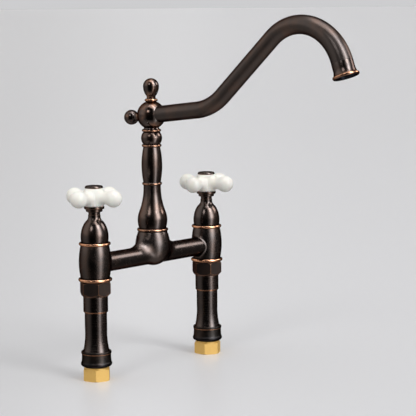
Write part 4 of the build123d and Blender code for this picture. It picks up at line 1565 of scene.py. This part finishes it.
@dataclass
class Studio:
    """The floor, the lights and the camera.

    A room is how bright the surroundings are by degrees to the right of the camera. The
    shades are a range across the floor and how dark it is at its ends, the fades are
    ranges of a direction's Z, and the other pairs are distances in metres.
    """

    azimuth: float = -49.666
    elevation: float = 6.84
    roll: float = -0.444
    distance: float = 2073.3
    target: tuple[float, float, float] = (43.9, -51.7, 194.9)
    focal_pixels: float = 1700.0
    frame_pixels: float = 416.0
    sensor_width: float = 36.0
    floor_reach: float = 400.0
    floor_near: Colour = (0.800, 0.800, 0.813)
    floor_far: Colour = (0.805, 0.805, 0.819)
    floor_depth: Point = (-0.35, 0.55)
    left_shade: tuple[float, ...] = (-0.13, 0.0, 0.205, 0.03)
    right_glow: tuple[float, ...] = (0.0, 0.13, 0.0, -0.015)
    # How much darker the floor is to bounced light: painted shade under the handles and the
    # bridge.
    floor_hush: float = 0.47
    mirror_reach: Point = (0.1, 1.5)
    mirror_near: Colour = (0.85, 0.85, 0.85)
    mirror_far: Colour = (1.0, 1.0, 1.0)
    air_level: float = 0.55
    air_above: float = 0.80
    air_fade: Point = (0.0, 0.8)
    air_seen: Colour = (0.608, 0.608, 0.62)
    level_room: tuple[Point, ...] = (
        (-180, 0.15), (-125, 0.50), (-76, 0.62), (-56, 0.42), (-42, 0.08), (-30, 0.02),
        (14, 0.02), (34, 1.2), (46, 5.0), (58, 1.2), (72, 0.20), (130, 0.15), (180, 0.15))
    raised_room: tuple[Point, ...] = (
        (-180, 0.45), (-138, 0.80), (-106, 1.30), (-84, 1.35), (-62, 1.05), (-46, 0.15),
        (-36, 0.04), (14, 0.04), (30, 2.0), (40, 8.5), (50, 11.5), (60, 7.5), (72, 0.8),
        (90, 0.25), (180, 0.30))
    room_fade: Point = (-0.02, 0.16)
    ground_fade: Point = (-0.50, -0.95)
    ground_glow: Colour = (0.95, 0.88, 0.84)
    dim_warmth: float = 0.03
    bright_warmth: float = -0.05
    bright_from: float = 3.0
    lamps: tuple[SunLamp, ...] = (
        SunLamp("front_lamp", 43, 42, 0.88, 22), SunLamp("left_lamp", -28, 34, 0.42, 18))
    box_centre: tuple[float, float, float] = (0, -0.05, 0.2175)
    boxes: tuple[SoftBox, ...] = (
        SoftBox("right_box", 107, 28.5, 1.5, 0.52, 0.60, 9.0),
        SoftBox("top_box", 60, 80, 1.4, 1.1, 1.1, 15.0))

    def build(self) -> None:
        """Set up the stage."""
        self.floor()
        self.world()
        self.lights()
        self.camera()
        bpy.context.scene.view_settings.view_transform = "Standard"
        LOG.info("studio: floor, lights and camera")

    def way(self, turn: float, rise: float = 0.0) -> Vector:
        """A direction from the faucet, turned to the right of the camera's place.

        Args:
            turn: Degrees round from the camera, to its right.
            rise: Degrees above level.

        Returns:
            The direction.
        """
        angle = math.radians(self.azimuth + turn)
        lift = math.radians(rise)
        return Vector((math.sin(angle) * math.cos(lift), -math.cos(angle) * math.cos(lift),
                       math.sin(lift)))

    def floor(self) -> None:
        """Lay a pale floor that reaches past the view, with painted light on it: darkest at the
        left, lightest in the middle, and darker to bounced light.

        Polished metal looks through it to the room, so that it mirrors the same bands at
        every height, and sees less light the nearer it looks.
        """
        mesh = bpy.data.meshes.new("studio_floor")
        reach = self.floor_reach
        mesh.from_pydata([(-reach, -reach, 0), (reach, -reach, 0), (reach, reach, 0),
                          (-reach, reach, 0)], [], [(0, 1, 2, 3)])
        floor = add_object("studio_floor", mesh)
        board = ShaderBoard("studio_paper")
        behind = board.measure("DOT_PRODUCT", board.place(), self.way(180))
        beside = board.measure("DOT_PRODUCT", board.place(), self.way(90))
        # Painted light falloff: the floor's colour shifts slightly from near to far.
        depth = board.spread(behind, *self.floor_depth)
        tone = board.blend(depth, self.floor_near, self.floor_far)
        # Painted shade across the view: darkest at the left, lightest in the middle, a little
        # darker to the right.
        across = board.maths("DIVIDE", beside, board.maths("ADD", behind, self.distance * MM))
        shade = board.maths("SUBTRACT", board.spread(across, *self.left_shade),
                            board.spread(across, *self.right_glow))
        ray = board.node("ShaderNodeLightPath").outputs
        # Painted shade: the floor is drawn darker to bounced light, deepening the shade under the
        # handles and the bridge.
        bounce_shade = board.maths("MULTIPLY", ray["Is Diffuse Ray"], self.floor_hush)
        shade = board.maths("ADD", shade, bounce_shade)
        board.wire(board.blend(shade, tone, (0.0, 0.0, 0.0)), "Base Color")
        board.set(Roughness=0.34, Specular_IOR_Level=0.22)
        away = board.spread(board.measure("LENGTH", board.place()), *self.mirror_reach)
        window = board.node("ShaderNodeBsdfTransparent",
                            Color=board.blend(away, self.mirror_near, self.mirror_far))
        mixer = board.node("ShaderNodeMixShader", Fac=ray["Is Glossy Ray"])
        board.feed(mixer.inputs[1], board.shader.outputs[0])
        board.feed(mixer.inputs[2], window.outputs[0])
        board.feed(board.output.inputs[0], mixer.outputs[0])
        mesh.materials.append(board.material)

    def world(self) -> None:
        """Light the room evenly, with a banded room for the metal to reflect."""
        world = bpy.data.worlds.new("studio_air")
        bpy.context.scene.world = world
        world.use_nodes = True
        board = NodeBoard(world.node_tree)
        board.tree.nodes.clear()
        place = board.node("ShaderNodeTexCoord").outputs["Generated"]
        height = board.axes(place)[2]
        ray = board.node("ShaderNodeLightPath").outputs
        level, above = ((grey, grey, grey * 1.01) for grey in (self.air_level, self.air_above))
        air = board.blend(board.spread(height, *self.air_fade), level, above)
        air = board.blend(ray["Is Camera Ray"], air, self.air_seen)
        air = board.blend(ray["Is Glossy Ray"], air, self.surroundings(board, place, height))
        glow = board.node("ShaderNodeBackground", Color=air)
        end = board.node("ShaderNodeOutputWorld")
        board.feed(end.inputs[0], glow.outputs[0])

    def surroundings(self, board: NodeBoard, vector: Socket, height: Socket) -> Socket:
        """How bright the room is all round, as polished metal sees it.

        Args:
            board: The world's board.
            vector: A direction seen from the faucet.
            height: Its Z.

        Returns:
            The brightness.
        """
        mapping = board.node("ShaderNodeMapping", Vector=vector,
                             Rotation=(0, 0, math.radians(90 - self.azimuth)))
        radial = board.node("ShaderNodeTexGradient", {"gradient_type": "RADIAL"},
                            Vector=mapping.outputs[0]).outputs["Fac"]
        level = self.band(board, radial, self.level_room)
        raised_band = self.band(board, radial, self.raised_room)
        walls = board.blend(board.spread(height, *self.room_fade), level, raised_band)
        return board.blend(board.spread(height, *self.ground_fade), walls, self.ground_glow)

    def band(self, board: NodeBoard, share: Socket, stops: Sequence[Point]) -> Socket:
        """Brightness by turn to the right of the camera, from -180 to 180 degrees.

        Args:
            board: The world's board.
            share: The turn, as a share of a full one.
            stops: Degrees with the brightness there, dim light being warm and bright light cool.

        Returns:
            The brightness.
        """
        ramp = board.node("ShaderNodeValToRGB", Fac=share)
        elements = ramp.color_ramp.elements
        while len(elements) < len(stops):
            elements.new(0.5)
        for element, (turn, value) in zip(elements, stops):
            element.position = turn / 360 + 0.5
            warmth = self.dim_warmth if value < self.bright_from else self.bright_warmth
            element.color = (value, value * (1 - warmth), value * (1 - 2 * warmth), 1)
        return ramp.outputs["Color"]

    def lights(self) -> None:
        """Hang the broad lamps and the soft boxes."""
        for lamp in self.lamps:
            light = bpy.data.lights.new(lamp.name, "SUN")
            light.energy = lamp.power
            light.angle = math.radians(lamp.spread)
            light.specular_factor = 0.0
            aim(add_object(lamp.name, light), self.way(lamp.turn, lamp.rise))
        for box in self.boxes:
            light = bpy.data.lights.new(box.name, "AREA")
            light.shape = "RECTANGLE"
            light.size, light.size_y = box.wide, box.tall
            light.energy = box.power
            light.color = box.colour
            made = add_object(box.name, light)
            way = self.way(box.turn, box.rise)
            made.location = Vector(self.box_centre) + way * box.away
            made.visible_diffuse = False
            aim(made, way)

    def camera(self) -> None:
        """Stand the camera where the photograph was taken from."""
        lens = bpy.data.cameras.new("viewpoint")
        lens.sensor_width = self.sensor_width
        lens.lens = self.focal_pixels * self.sensor_width / self.frame_pixels
        lens.clip_start, lens.clip_end = 0.05, 200.0
        camera = add_object("viewpoint", lens)
        back = self.way(0, self.elevation)
        camera.location = (Vector(self.target) + back * self.distance) * MM
        aim(camera, back, self.roll)
        bpy.context.scene.camera = camera


def aim(thing: bpy.types.Object, back: Vector, roll: float = 0.0) -> None:
    """Turn a lamp or the camera to look against a direction.

    Args:
        thing: The lamp or camera.
        back: The direction from what it looks at to itself.
        roll: Degrees by which it is turned about that direction.
    """
    thing.rotation_mode = "QUATERNION"
    spin = Quaternion(back, math.radians(roll))
    thing.rotation_quaternion = spin @ back.to_track_quat("Z", "Y")


# ---------------------------------------------------------------- main


FINISHES = (
    BronzeFinish("bronze_smooth"),
    BronzeFinish("bronze_turned", roughness=0.21, turned=True, browning=0.2),
    # A darker, rougher copy of the bronze for the base flanges: painted shade for the dimmer
    # light near the floor.
    BronzeFinish("bronze_foot", dark=(0.031, 0.027, 0.024), roughness=0.36, turned=True),
    BronzeFinish("bronze_ornament", brown=(0.205, 0.112, 0.073), browning=1.0, roughness=0.14),
    BronzeFinish("bronze_tube", browning=0.3, roughness=0.32),
    BronzeFinish("bronze_nut", dark=(0.098, 0.076, 0.069), worn_edge=1.4, roughness=0.32),
    BronzeFinish("bronze_cast", roughness=0.25, bands=((120.6, 1.75), (163.1, 1.65)),
                 band_reach=75.0),
    BrassFinish("brass_nut"),
    BrassFinish("brass_inner", colour=(0.72, 0.54, 0.26), roughness=0.36),
    PorcelainFinish("glazed_porcelain"),
    PlainFinish("lapped_ceramic", (0.82, 0.82, 0.80), (0.78, 0.78, 0.75), 0.25),
    PlainFinish("seal_rubber", (0.020, 0.020, 0.022), (0.035, 0.035, 0.036), 0.55),
    PlainFinish("red_fibre", (0.30, 0.09, 0.06), (0.38, 0.14, 0.09), 0.65),
    PlainFinish("stainless", (0.55, 0.55, 0.56), (0.48, 0.48, 0.50), 0.28, 1.0),
    PlainFinish("nozzle_plastic", (0.10, 0.105, 0.11), (0.13, 0.135, 0.14), 0.40),
)
SLOT_FINISH = {
    Slot.BRONZE: "bronze_smooth", Slot.BRASS: "brass_nut", Slot.PLAIN_BRASS: "brass_inner",
    Slot.PORCELAIN: "glazed_porcelain", Slot.DISC: "lapped_ceramic",
    Slot.RUBBER: "seal_rubber", Slot.FIBRE: "red_fibre", Slot.STEEL: "stainless",
    Slot.PLASTIC: "nozzle_plastic",
}
NODE_FINISH = {
    "bridge_body": "bronze_cast", "ball_hub": "bronze_ornament",
    "hot_union_nut": "bronze_nut", "cold_union_nut": "bronze_nut",
}


def clear_startup() -> None:
    """Remove whatever the empty file came with."""
    for thing in list(bpy.data.objects):
        bpy.data.objects.remove(thing)


def main() -> None:
    """Build the scene, sub-assembly by sub-assembly."""
    logging.basicConfig(level=logging.INFO, format="%(name)s: %(message)s")
    clear_startup()
    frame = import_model()
    shop = Workshop.stocked(FINISHES)
    for entry in frame["record"]["subparts"]:
        name = entry["node"]
        finish = NODE_FINISH.get(name, SLOT_FINISH[Slot(entry["material_slot"])])
        shop.dress(frame["nodes"][name], finish)
    for side in Side:
        ValveLeg(side).build(shop)
        CrossHandle(side).build(shop)
    column = SpoutColumn()
    column.build(shop)
    SpoutTube(column.ball_height()).build(shop)
    Studio().build()


if __name__ == "__main__":
    main()
